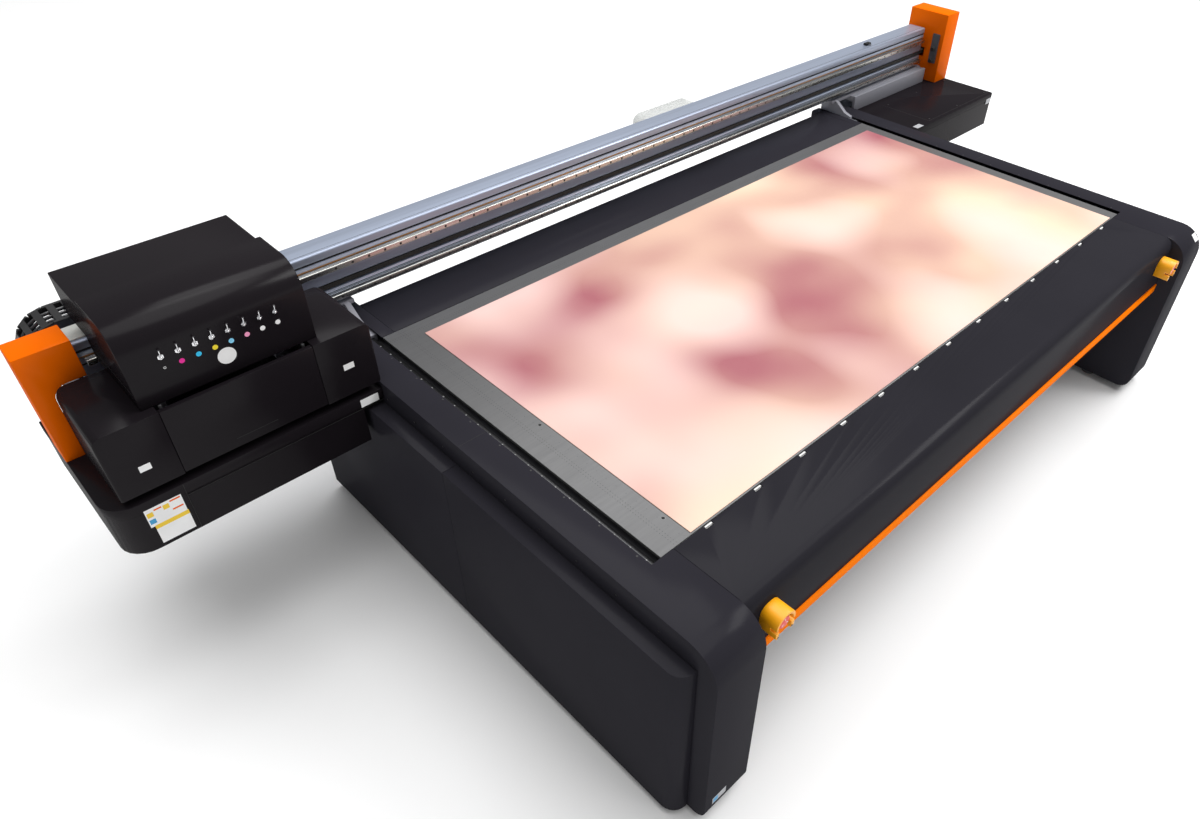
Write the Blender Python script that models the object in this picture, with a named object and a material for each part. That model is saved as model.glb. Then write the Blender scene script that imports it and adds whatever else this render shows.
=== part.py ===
"""Flatbed UV printer: a fixed table with a vacuum bed, a gantry that slides front to back on rails in two
slots, and a print carriage that slides left to right along the gantry's beam.

Metres, +Z up, X left to right seen from the front, Y front to back. The origin is on the floor, in the middle
of the machine's width and depth. Everything is drawn at rest: gantry at the back, carriage at the left."""
import math

import bmesh
import bpy

# ---- driving sizes -------------------------------------------------------------------------------------
GAP = 0.0003            # between faces that touch
SHEET = 0.003           # sheet metal of the covers

BED_TOP = 0.760         # height of the printing surface
BED_W = 2.700
BED_D = 1.300
BED_T = 0.010

FRONT_DECK_D = 0.321    # pedestal front to the bed
REAR_DECK_D = 0.226
PEDESTAL_BEHIND = 0.051  # pedestal back behind the rear deck's
PEDESTAL_W = 0.175
PEDESTAL_BASE = 0.032   # bottom edge of the covers above the floor
PEDESTAL_TOP_R = 0.100
PEDESTAL_BOTTOM_R = 0.045

SLOT_W = 0.030
SLOT_EDGE = 0.002       # bed to slot
SIDE_STRIP = 0.099      # deck outside the slot

CABINET_PROUD = 0.053
CABINET_DROP = 0.080    # cabinet top below the deck
CABINET_SETBACK = 0.064
CABINET_SPLIT = 1.028   # front edge of the rear cabinet cover, behind the pedestal front
CABINET_R = 0.050

SKIRT_SETBACK = 0.064
SKIRT_H = 0.205
SKIRT_R = 0.040
TRIM_H = 0.035
TRIM_PROUD = 0.005

BEAM_END = 0.143        # beam end inside the outer end of tray or wing
BEAM_Z0 = 0.820
BEAM_H = 0.192
BEAM_D = 0.090
BEAM_BEHIND = 0.201     # beam front face behind the bed
CHANNEL_Z = 0.872       # belt channel
CHANNEL_H = 0.026
CHANNEL_D = 0.055
SHELF_D = 0.145         # ledge behind the beam that the energy chain lies on
SHELF_T = 0.008

X_RAIL = 0.020          # rail width and the depth it stands out
X_RAIL_DEEP = 0.026
X_RAIL_LOW = 0.018      # lower rail above the beam's underside
X_RAIL_HIGH = 0.067     # upper rail below the beam's top
Y_RAIL_W = 0.020
Y_RAIL_H = 0.0175
Y_RAIL_TOP = 0.024      # rail top below the deck
BLOCK_W = 0.044
BLOCK_OVER = 0.0125     # block top above rail top

SIDE_REACH_OUT = 0.938  # outer ends of tray and wing beyond the bed's edge
TRAY_TOP = 0.742
TRAY_PLATE = 0.035
TRAY_H = 0.172
TRAY_AHEAD = 0.410      # tray front face ahead of the beam face
TRAY_D = 0.540
TRAY_R = 0.080
CABINET_CLEAR = 0.019   # tray box outside the cabinet

END_COVER_W = 0.140
END_COVER_UP = 0.078    # end cover top above the beam's
END_COVER_FRONT = 0.110  # end cover front ahead of the beam face
LEFT_COVER_D = 0.100
RIGHT_COVER_D = 0.227
RIGHT_COVER_W = 0.115
NOTCH_DOWN = 0.037      # notch of the end cover below the beam's top
NOTCH_LEG = 0.050
NOTCH_R = 0.040

PULLEY_R = 0.020
BELT_T = 0.0025
BELT_H = 0.016

CARRIAGE_IN = 0.424     # middle of the hood at rest, inside the tray's outer end
HOOD_W = 0.484
HOOD_FRONT = 0.377      # hood front ahead of the beam face
HOOD_BACK = 0.067       # hood back behind the beam face
HOOD_DOWN = 0.027       # lower edge of the hood below the beam's top
HOOD_H = 0.235
HOOD_STEP = 0.022
HOOD_STEP_Y = 0.213     # front of hood to the step in its top
HOOD_R = 0.085
HOUSING_FRONT = 0.410   # lamp cover fronts ahead of the beam face
HOUSING_D = 0.283
HOUSING_Z0 = 0.770
HOUSING_LEFT_W = 0.166
HOUSING_RIGHT_W = 0.175
DOOR_SIDE = 0.031       # door inside the hood's sides
LAMP_COVER_R = 0.024    # upper outer edges of the lamp covers
HEAD_PLATE_Z0 = 0.768
LEVER_COUNT = 8
LEVER_PITCH = 0.043
LEVER_UP = 0.128        # levers above the hood's lower edge
LEVER_TILT = math.radians(80)   # above level at rest
LEVER_L = 0.024

CHAIN_W = 0.110
CHAIN_T = 0.030
ARM_CLEAR = 0.0182      # carriage arm above the beam's top
CHAIN_END = 0.150       # fixed end of the lower run
INK_X = (0.372, 0.732)
INK_BEHIND = 0.428      # back of the ink rack behind the beam face
INK_D = 0.165
INK_Z = (0.775, 0.872)

PIN_COUNT = 13
PIN_PITCH = 0.197
PIN_W = 0.026
PIN_D = 0.006

ESTOP_IN = 0.081        # emergency stop inside the pedestal's inner face
ESTOP_Z = 0.678
SCREW_R = 0.010
SCREW_Z = 0.660

# ---- derived places ------------------------------------------------------------------------------------
MACHINE_D = FRONT_DECK_D + BED_D + BEAM_BEHIND + INK_BEHIND
PEDESTAL_D = FRONT_DECK_D + BED_D + 0.002 + REAR_DECK_D + PEDESTAL_BEHIND
FRONT_Y = -MACHINE_D / 2
BED_FRONT = FRONT_Y + FRONT_DECK_D
BED_BACK = BED_FRONT + BED_D
SIDE_REACH = BED_W / 2 + SIDE_REACH_OUT
BEAM_L = 2 * (SIDE_REACH - BEAM_END)
CARRIAGE_X = -SIDE_REACH + CARRIAGE_IN
DOOR_W = HOOD_W - 2 * DOOR_SIDE
SLOT_IN = BED_W / 2 + SLOT_EDGE
SLOT_OUT = SLOT_IN + SLOT_W
SIDE_OUT = SLOT_OUT + SIDE_STRIP
SIDE_IN = SIDE_OUT - PEDESTAL_W
RAIL_X = (SLOT_IN + SLOT_OUT) / 2
PEDESTAL_BACK = FRONT_Y + PEDESTAL_D
SKIRT_Y = FRONT_Y + SKIRT_SETBACK
CABINET_OUT = SIDE_OUT + GAP + CABINET_PROUD
RAIL_TOP = BED_TOP - Y_RAIL_TOP
RAIL_BASE = RAIL_TOP - Y_RAIL_H
BLOCK_TOP = RAIL_TOP + BLOCK_OVER
BEAM_Y = BED_BACK + BEAM_BEHIND
BEAM_BACK = BEAM_Y + BEAM_D
BEAM_TOP = BEAM_Z0 + BEAM_H
X_RAIL_Z = (BEAM_Z0 + X_RAIL_LOW, BEAM_TOP - X_RAIL_HIGH)
END_COVER_TOP = BEAM_TOP + END_COVER_UP
NOTCH_Z = BEAM_TOP - NOTCH_DOWN
HOOD_Z0 = BEAM_TOP - HOOD_DOWN
HOOD_TOP = HOOD_Z0 + HOOD_H
LEVER_Z = HOOD_Z0 + LEVER_UP
TRAY_Y = BEAM_Y - TRAY_AHEAD
END_COVER_Y = BEAM_Y - END_COVER_FRONT
BELT_Y = BEAM_Y + 0.0255
BELT_Z = CHANNEL_Z + CHANNEL_H / 2
DRIVE_X = -BEAM_L / 2 - 0.030
IDLER_X = BEAM_L / 2 + 0.055
HOOD_Y = BEAM_Y - HOOD_FRONT
HOUSING_Y = BEAM_Y - HOUSING_FRONT
SCREW_X = SIDE_OUT - 0.0385
SCREW_FRONT = BED_FRONT + 0.004
SCREW_BACK = PEDESTAL_BACK - 0.120
NUT_Y = BEAM_Y - 0.097
CHAIN_Y = BEAM_BACK + 0.028
CHAIN_Z0 = BEAM_Z0 + SHELF_T + GAP
ARM_Z = BEAM_TOP + ARM_CLEAR
CHAIN_R = (ARM_Z - GAP - CHAIN_T - CHAIN_Z0) / 2    # bend radius of the middle line

parts = bpy.data.collections.new("flatbed_uv_printer")
cutters = bpy.data.collections.new("cutters")


# ---- modelling helpers ---------------------------------------------------------------------------------
def clear_scene():
    for obj in list(bpy.data.objects):
        bpy.data.objects.remove(obj, do_unlink=True)
    bpy.context.scene.collection.children.link(parts)
    bpy.context.scene.collection.children.link(cutters)


def material(name, colour, roughness, metallic=0.0):
    found = bpy.data.materials.get(name)
    if found:
        return found
    made = bpy.data.materials.new(name)
    made.use_nodes = True
    shader = made.node_tree.nodes["Principled BSDF"]
    shader.inputs["Base Color"].default_value = (*colour, 1.0)
    shader.inputs["Roughness"].default_value = roughness
    shader.inputs["Metallic"].default_value = metallic
    return made


def keep(obj, mat):
    """Puts a finished piece in the parts collection with its own material."""
    for home in list(obj.users_collection):
        home.objects.unlink(obj)
    parts.objects.link(obj)
    obj.data.materials.clear()
    obj.data.materials.append(mat)
    return obj


def from_bmesh(name, bm):
    mesh = bpy.data.meshes.new(name)
    bm.to_mesh(mesh)
    bm.free()
    obj = bpy.data.objects.new(name, mesh)
    cutters.objects.link(obj)
    return obj


def box(name, low, high):
    """A block from its lowest to its highest corner."""
    bm = bmesh.new()
    bmesh.ops.create_cube(bm, size=1.0)
    for vert in bm.verts:
        for axis in range(3):
            middle = (low[axis] + high[axis]) / 2
            vert.co[axis] = middle + vert.co[axis] * (high[axis] - low[axis])
    return from_bmesh(name, bm)


TURN = {
    "X": (0, math.radians(90), 0),
    "Y": (math.radians(-90), 0, 0),
    "Z": (0, 0, 0),
}


def rod(name, start, length, radius, axis="Z", sides=24, tip_radius=None):
    """A cylinder or cone from start along a positive axis."""
    bm = bmesh.new()
    bmesh.ops.create_cone(
        bm, cap_ends=True, segments=sides, radius1=radius,
        radius2=radius if tip_radius is None else tip_radius, depth=length,
    )
    for vert in bm.verts:
        vert.co.z += length / 2
    obj = from_bmesh(name, bm)
    obj.rotation_euler = TURN[axis]
    obj.location = start
    bake(obj)
    smooth(obj)
    return obj


def bake(obj):
    """Moves the object's placement into its mesh, so that its origin is at the world's."""
    bpy.context.view_layer.update()
    obj.data.transform(obj.matrix_world)
    obj.matrix_world.identity()
    obj.location = (0, 0, 0)
    obj.rotation_euler = (0, 0, 0)
    return obj


def smooth(obj, degrees=35):
    obj.data.shade_smooth()
    obj.data.set_sharp_from_angle(angle=math.radians(degrees))
    return obj


def arc(centre, radius, start, end, steps=6):
    """Points on an arc, angles in degrees."""
    points = []
    for i in range(steps + 1):
        angle = math.radians(start + (end - start) * i / steps)
        points.append((centre[0] + radius * math.cos(angle), centre[1] + radius * math.sin(angle)))
    return points


def round_box(a0, b0, a1, b1, radii, steps=6):
    """A rectangle's outline with a radius for each corner: low-low, high-low, high-high, low-high."""
    corners = ((a0, b0, 1, 1, 180), (a1, b0, -1, 1, 270), (a1, b1, -1, -1, 0), (a0, b1, 1, -1, 90))
    points = []
    for (a, b, sign_a, sign_b, start), radius in zip(corners, radii):
        if radius > 0:
            points += arc((a + sign_a * radius, b + sign_b * radius), radius, start, start + 90, steps)
        else:
            points.append((a, b))
    return points


def prism(name, outlines, axis, low, high):
    """Flat outlines drawn out along an axis. Outlines are (Y, Z) for X, (X, Z) for Y and (X, Y) for Z."""
    curve = bpy.data.curves.new(name, "CURVE")
    curve.dimensions = "2D"
    curve.fill_mode = "BOTH"
    curve.extrude = (high - low) / 2
    for outline in outlines:
        spline = curve.splines.new("POLY")
        spline.points.add(len(outline) - 1)
        for point, (a, b) in zip(spline.points, outline):
            point.co = (a, b, 0, 1)
        spline.use_cyclic_u = True
    guide = bpy.data.objects.new(name + "_outline", curve)
    cutters.objects.link(guide)
    middle = (low + high) / 2
    if axis == "X":
        guide.rotation_euler = (math.radians(90), 0, math.radians(90))
        guide.location = (middle, 0, 0)
    elif axis == "Y":
        guide.rotation_euler = (math.radians(90), 0, 0)
        guide.location = (0, middle, 0)
    else:
        guide.location = (0, 0, middle)
    bpy.context.view_layer.update()
    mesh = bpy.data.meshes.new_from_object(guide.evaluated_get(bpy.context.evaluated_depsgraph_get()))
    mesh.transform(guide.matrix_world)
    bpy.data.objects.remove(guide, do_unlink=True)
    bm = bmesh.new()
    bm.from_mesh(mesh)
    bmesh.ops.remove_doubles(bm, verts=bm.verts, dist=0.00002)
    bmesh.ops.recalc_face_normals(bm, faces=bm.faces)
    obj = from_bmesh(name, bm)
    smooth(obj)
    return obj


def merge_boxes(name, blocks):
    """One mesh that holds several separate blocks, for a cutter."""
    bm = bmesh.new()
    for low, high in blocks:
        made = bmesh.ops.create_cube(bm, size=1.0)
        for vert in made["verts"]:
            for axis in range(3):
                middle = (low[axis] + high[axis]) / 2
                vert.co[axis] = middle + vert.co[axis] * (high[axis] - low[axis])
    return from_bmesh(name, bm)


def shape(obj, tool, operation):
    """Cuts a tool out of an object, or joins it on."""
    step = obj.modifiers.new(operation.lower() + "_" + tool.name, "BOOLEAN")
    step.operation = operation
    step.solver = "EXACT"
    step.object = tool
    tool.hide_render = True
    tool.display_type = "WIRE"
    return obj


def cut(obj, *tools):
    for tool in tools:
        shape(obj, tool, "DIFFERENCE")
    return obj


def join(obj, *tools):
    for tool in tools:
        shape(obj, tool, "UNION")
    return obj


def set_origin(obj, point):
    """Puts a moving piece's origin on its joint's axis."""
    for vert in obj.data.vertices:
        for axis in range(3):
            vert.co[axis] -= point[axis]
    obj.location = point
    return obj


def mirrored(side, low, high):
    """A range of X on one side of the machine: side is -1 for left and 1 for right."""
    return (side * low, side * high) if side > 0 else (side * high, side * low)


# ---- materials -----------------------------------------------------------------------------------------
BLACK = material("black_cover", (0.012, 0.012, 0.015), 0.45)
CARRIAGE_BLACK = material("carriage_black", (0.010, 0.009, 0.011), 0.35)
ORANGE = material("orange_cover", (0.90, 0.20, 0.01), 0.40)
FRAME = material("frame_steel", (0.10, 0.10, 0.11), 0.55, 0.4)
BED = material("bed_aluminium", (0.26, 0.26, 0.27), 0.42, 0.8)
BEAM = material("beam_aluminium", (0.42, 0.43, 0.50), 0.38, 0.7)
BRACKET = material("bracket_grey", (0.32, 0.34, 0.42), 0.50)
RAIL = material("rail_steel", (0.62, 0.62, 0.58), 0.25, 1.0)
RUBBER = material("belt_rubber", (0.012, 0.012, 0.012), 0.80)
CHAIN = material("chain_plastic", (0.015, 0.015, 0.017), 0.60)
MOTOR = material("motor_black", (0.03, 0.03, 0.03), 0.50, 0.3)
ESTOP_YELLOW = material("estop_yellow", (0.95, 0.55, 0.02), 0.40)
ESTOP_RED = material("estop_red", (0.75, 0.01, 0.02), 0.35)
PIN_WHITE = material("pin_white", (0.80, 0.80, 0.80), 0.40)
SMOKED = material("smoked_cover", (0.55, 0.56, 0.55), 0.25)
CHROME = material("lever_chrome", (0.80, 0.80, 0.82), 0.12, 1.0)
HEAD_METAL = material("head_metal", (0.50, 0.50, 0.52), 0.30, 1.0)


# ---- the table -----------------------------------------------------------------------------------------
def table_frame():
    """Welded frame: two side beams under the rails, four legs with feet, ties and cross beams."""
    beam_w = 0.080
    leg_w = 0.066
    beam_z = (RAIL_BASE - 0.100, RAIL_BASE - GAP)
    beam_y = (FRONT_Y + 0.110, PEDESTAL_BACK - 0.040)
    leg_at = (beam_y[0] + 0.050, beam_y[1] - 0.120)
    frame = box("table_frame", (-RAIL_X - beam_w / 2, beam_y[0], beam_z[0]),
                (-RAIL_X + beam_w / 2, beam_y[1], beam_z[1]))
    joined = [box("right_side_beam", (RAIL_X - beam_w / 2, beam_y[0], beam_z[0]),
                  (RAIL_X + beam_w / 2, beam_y[1], beam_z[1]))]
    for i in range(4):
        y = BED_FRONT + 0.060 + i * (BED_D - 0.160) / 3
        joined.append(box(f"cross_beam_{i}", (-RAIL_X, y - 0.030, beam_z[0] + 0.004),
                          (RAIL_X, y + 0.030, BED_TOP - BED_T - 0.050)))
    for side in (-1, 1):
        for i, y in enumerate(leg_at):
            low, high = mirrored(side, RAIL_X - leg_w / 2, RAIL_X + leg_w / 2)
            joined.append(box(f"leg_{side}_{i}", (low, y, PEDESTAL_BASE - 0.004),
                              (high, y + leg_w, beam_z[0] + 0.030)))
            joined.append(rod(f"foot_{side}_{i}", (side * RAIL_X, y + leg_w / 2, 0),
                              PEDESTAL_BASE + 0.008, 0.030, sides=16))
        low, high = mirrored(side, RAIL_X - 0.020, RAIL_X + 0.020)
        joined.append(box(f"tie_{side}", (low, leg_at[0] + 0.020, 0.080), (high, leg_at[1] + 0.020, 0.130)))
        low, high = mirrored(side, RAIL_X + 0.020, SCREW_X + 0.025)
        joined.append(box(f"screw_support_{side}", (low, SCREW_FRONT - 0.026, SCREW_Z - 0.025),
                          (high, SCREW_FRONT - 0.0006, SCREW_Z + 0.025)))
    return keep(join(frame, *joined), FRAME)


def side_profile(inset, base):
    """Outline of a pedestal seen from the side, front to the left, drawn in by inset."""
    low_r = max(PEDESTAL_BOTTOM_R - inset, 0) if base > 0 else 0
    return round_box(FRONT_Y + inset, base, PEDESTAL_BACK - inset, BED_TOP - inset,
                     (low_r, 0, 0.015, PEDESTAL_TOP_R - inset), 8)


def side_cover(side, name):
    """Sheet cover of one pedestal and the deck strip above it, open at the bottom, with the gantry's slot."""
    low, high = mirrored(side, SIDE_IN, SIDE_OUT)
    cover = prism(name, [side_profile(0, PEDESTAL_BASE)], "X", low, high)
    inner = prism(name + "_inside", [side_profile(SHEET, -0.050)], "X", low + SHEET, high - SHEET)
    seat_x = mirrored(side, SIDE_IN - 0.020, SLOT_OUT)
    seat = box(name + "_bed_seat", (seat_x[0], BED_FRONT - 0.0005, BED_TOP - 0.170),
               (seat_x[1], BED_BACK + 0.0015, BED_TOP + 0.020))
    slot_x = mirrored(side, SLOT_IN, SLOT_OUT)
    slot = box(name + "_slot", (slot_x[0], BED_BACK - 0.010, BED_TOP - 0.060),
               (slot_x[1], PEDESTAL_BACK + 0.010, BED_TOP + 0.020))
    return keep(cut(cover, inner, seat, slot), BLACK)


def cabinet(side, name, start, end, front_r):
    """Sheet cover that stands out from a pedestal's side, open towards it."""
    top = BED_TOP - CABINET_DROP
    inner_x, outer_x = SIDE_OUT + GAP, CABINET_OUT

    def plan(inset, inside):
        radius = max(front_r - inset, 0)
        if side > 0:
            return round_box(inside, start + inset, outer_x - inset, end - inset, (0, radius, 0, 0), 6)
        return round_box(-outer_x + inset, start + inset, -inside, end - inset, (radius, 0, 0, 0), 6)

    cover = prism(name, [plan(0, inner_x)], "Z", PEDESTAL_BASE, top)
    inner = prism(name + "_inside", [plan(SHEET, inner_x - 0.010)], "Z", PEDESTAL_BASE + SHEET, top - SHEET)
    return keep(cut(cover, inner), BLACK)


def bed_plate():
    plate = box("bed_plate", (-BED_W / 2, BED_FRONT, BED_TOP - BED_T), (BED_W / 2, BED_BACK, BED_TOP))
    return keep(plate, BED)


def vacuum_plenum():
    """Pan under the bed plate, with ten pockets for the suction."""
    reach, margin, rib = BED_W / 2 - 0.060, 0.025, 0.020
    low_z, high_z = BED_TOP - BED_T - 0.050 + GAP, BED_TOP - BED_T - GAP
    y0, y1 = BED_FRONT + margin, BED_BACK - margin
    pan = box("vacuum_plenum", (-reach, y0, low_z), (reach, y1, high_z))
    columns, rows = 5, 2
    pocket_w = (2 * reach - (columns + 1) * rib) / columns
    pocket_d = (y1 - y0 - (rows + 1) * rib) / rows
    pockets = []
    for i in range(columns):
        for j in range(rows):
            x = -reach + rib + i * (pocket_w + rib)
            y = y0 + rib + j * (pocket_d + rib)
            pockets.append(((x, y, low_z + 0.004), (x + pocket_w, y + pocket_d, high_z + 0.010)))
    return keep(cut(pan, merge_boxes("plenum_pockets", pockets)), HEAD_METAL)


def vacuum_blower():
    """Side-channel blower on the left pedestal's tie."""
    x0 = -RAIL_X - 0.078
    y = BED_FRONT + 0.600
    blower = rod("vacuum_blower", (x0, y, 0.280), 0.130, 0.115, "X", 32)
    foot = box("blower_foot", (x0 + 0.025, y - 0.080, 0.130 + GAP), (x0 + 0.105, y + 0.080, 0.220))
    port = rod("blower_port", (x0 + 0.065, y + 0.060, 0.300), 0.180, 0.025, "Z", 16)
    return keep(join(blower, foot, port), MOTOR)


def front_cover():
    """Deck in front of the bed that rolls over into the skirt, with a notch for each register pin."""
    back, top = BED_FRONT - 0.002, BED_TOP
    low = BED_TOP - SKIRT_H
    centre = (SKIRT_Y + SKIRT_R, top - SKIRT_R)
    outline = [(back, top)] + arc(centre, SKIRT_R, 90, 180, 8) + [(SKIRT_Y, low), (SKIRT_Y + SHEET, low)]
    outline += arc(centre, SKIRT_R - SHEET, 180, 90, 8) + [(back, top - SHEET)]
    cover = prism("front_cover", [outline], "X", -SIDE_IN + 0.0005, SIDE_IN - 0.0005)
    notches = []
    for i in range(PIN_COUNT):
        x = (i - (PIN_COUNT - 1) / 2) * PIN_PITCH
        half = PIN_W / 2 + 0.002
        notches.append(((x - half, BED_FRONT - 0.014, top - 0.010), (x + half, BED_FRONT, top + 0.010)))
    return keep(cut(cover, merge_boxes("pin_notches", notches)), BLACK)


def trim_strip():
    """Orange strip along the bottom of the skirt."""
    top = BED_TOP - SKIRT_H - GAP
    strip = box("orange_trim", (-SIDE_IN + 0.0005, SKIRT_Y - TRIM_PROUD, top - TRIM_H),
                (SIDE_IN - 0.0005, SKIRT_Y + 0.013, top))
    return keep(strip, ORANGE)


def rear_cover():
    """Deck behind the bed, turned down at the back."""
    front, back, top = BED_BACK + 0.002, BED_BACK + 0.002 + REAR_DECK_D, BED_TOP
    radius = 0.008
    centre = (back - radius, top - radius)
    outline = [(front, top - SHEET)] + arc(centre, radius - SHEET, 90, 0, 4)
    outline += [(back - SHEET, 0.600), (back, 0.600)]
    outline += arc(centre, radius, 0, 90, 4) + [(front, top)]
    return keep(prism("rear_cover", [outline], "X", -SIDE_IN + 0.0005, SIDE_IN - 0.0005), BLACK)


def y_rail(side, name):
    low, high = mirrored(side, RAIL_X - Y_RAIL_W / 2, RAIL_X + Y_RAIL_W / 2)
    rail = box(name, (low, BED_FRONT + 0.004, RAIL_BASE), (high, PEDESTAL_BACK - 0.050, RAIL_TOP))
    return keep(rail, RAIL)


def y_screw(side, name):
    screw = rod(name, (side * SCREW_X, SCREW_FRONT, SCREW_Z), SCREW_BACK - SCREW_FRONT, SCREW_R, "Y", 12)
    return keep(set_origin(screw, (side * SCREW_X, SCREW_BACK, SCREW_Z)), RAIL)


def y_motor(side, name):
    half = 0.030
    low, high = mirrored(side, SCREW_X - half, SCREW_X + half)
    motor = box(name, (low, SCREW_BACK + 0.0006, SCREW_Z - half),
                (high, PEDESTAL_BACK - 0.010, SCREW_Z + half))
    return keep(motor, MOTOR)


def pin_bar():
    """Register pins that rise at the bed's front edge, on one bar."""
    y0 = BED_FRONT - 0.0035 - PIN_D
    span = (PIN_COUNT - 1) * PIN_PITCH / 2
    bar = box("pin_bar", (-span - 0.020, y0, BED_TOP - 0.028), (span + 0.020, y0 + PIN_D, BED_TOP - 0.015))
    pins = []
    for i in range(PIN_COUNT):
        x = -span + i * PIN_PITCH
        pins.append(((x - PIN_W / 2, y0 + 0.0005, BED_TOP - 0.020),
                     (x + PIN_W / 2, y0 + PIN_D - 0.0005, BED_TOP - 0.0005)))
    join(bar, merge_boxes("register_pins", pins))
    return keep(bar, PIN_WHITE)


def emergency_stop(side, suffix):
    """Yellow guard on the skirt, with a red head on a stem that presses in and twists out."""
    x, z = side * (SIDE_IN - ESTOP_IN), ESTOP_Z
    back, step, front = SKIRT_Y - GAP, SKIRT_Y - 0.036, SKIRT_Y - 0.057
    outline = round_box(x - 0.036, z - 0.038, x + 0.036, z + 0.036, (0.008, 0.008, 0.030, 0.030), 5)
    housing = prism("estop_housing_" + suffix, [outline], "Y", front, back)
    cavity = rod("estop_cavity_" + suffix, (x, front - 0.010, z), 0.033, 0.029, "Y", 24)
    bore = rod("estop_bore_" + suffix, (x, front, z), 0.050, 0.0095, "Y", 16)
    low_gap = box("estop_gap_" + suffix, (x - 0.024, front - 0.010, z - 0.060),
                  (x + 0.024, front + 0.033, z - 0.010))
    side_gap = box("estop_side_gap_" + suffix, (x - 0.050, front - 0.010, z - 0.016),
                   (x + 0.050, front + 0.020, z - 0.004))
    keep(cut(housing, cavity, bore, low_gap, side_gap), ESTOP_YELLOW)
    stem = rod("estop_stem_" + suffix, (x, front + 0.0153, z), step - front + 0.002, 0.008, "Y", 16)
    keep(set_origin(stem, (x, front + 0.0153, z)), HEAD_METAL)
    head = rod("estop_head_" + suffix, (x, front + 0.004, z), 0.011, 0.019, "Y", 24, 0.021)
    keep(set_origin(head, (x, front + 0.015, z)), ESTOP_RED)


# ---- the gantry ----------------------------------------------------------------------------------------
def beam():
    """Extruded beam with the belt channel in front, two hollow chambers and a ledge behind for the chain."""
    z0, z1 = BEAM_Z0, BEAM_TOP
    channel_top = CHANNEL_Z + CHANNEL_H
    outline = [
        (BEAM_Y, z0), (BEAM_BACK + SHELF_D, z0), (BEAM_BACK + SHELF_D, z0 + SHELF_T),
        (BEAM_BACK, z0 + SHELF_T),
        (BEAM_BACK, z1), (BEAM_Y, z1), (BEAM_Y, channel_top), (BEAM_Y + CHANNEL_D, channel_top),
        (BEAM_Y + CHANNEL_D, CHANNEL_Z), (BEAM_Y, CHANNEL_Z),
    ]
    wall = 0.006
    upper = round_box(BEAM_Y + wall, channel_top + wall, BEAM_BACK - wall, z1 - wall, (0.004,) * 4, 2)
    lower = round_box(BEAM_Y + wall, z0 + wall, BEAM_BACK - wall, CHANNEL_Z - wall, (0.004,) * 4, 2)
    return keep(prism("beam", [outline, upper, lower], "X", -BEAM_L / 2, BEAM_L / 2), BEAM)


def beam_top_cover():
    """Capping sheet of the beam with a lip down its front."""
    y0, y1, z0, z1 = BEAM_Y - 0.0035, BEAM_BACK, BEAM_TOP + GAP, BEAM_TOP + 0.004
    lip = 0.0032
    outline = [(y0, z1 - 0.026), (y0 + lip, z1 - 0.026), (y0 + lip, z0), (y1, z0), (y1, z1), (y0 + 0.004, z1),
               (y0, z1 - 0.004)]
    return keep(prism("beam_top_cover", [outline], "X", -BEAM_L / 2, BEAM_L / 2), BEAM)


def x_rail(name, z):
    """Linear rail along the beam, waisted at top and bottom."""
    y0, y1 = BEAM_Y - X_RAIL_DEEP, BEAM_Y - GAP
    groove, depth = 0.004, 0.0025
    outline = [(y1, z), (y1, z + X_RAIL), (y0 + 0.014, z + X_RAIL), (y0 + 0.010, z + X_RAIL - depth),
               (y0 + 0.010 - groove, z + X_RAIL - depth), (y0 + 0.002, z + X_RAIL), (y0, z + X_RAIL - 0.002),
               (y0, z + 0.002), (y0 + 0.002, z), (y0 + 0.010 - groove, z + depth), (y0 + 0.010, z + depth),
               (y0 + 0.014, z)]
    return keep(prism(name, [outline], "X", -BEAM_L / 2 + 0.020, BEAM_L / 2 - 0.020), RAIL)


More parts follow.
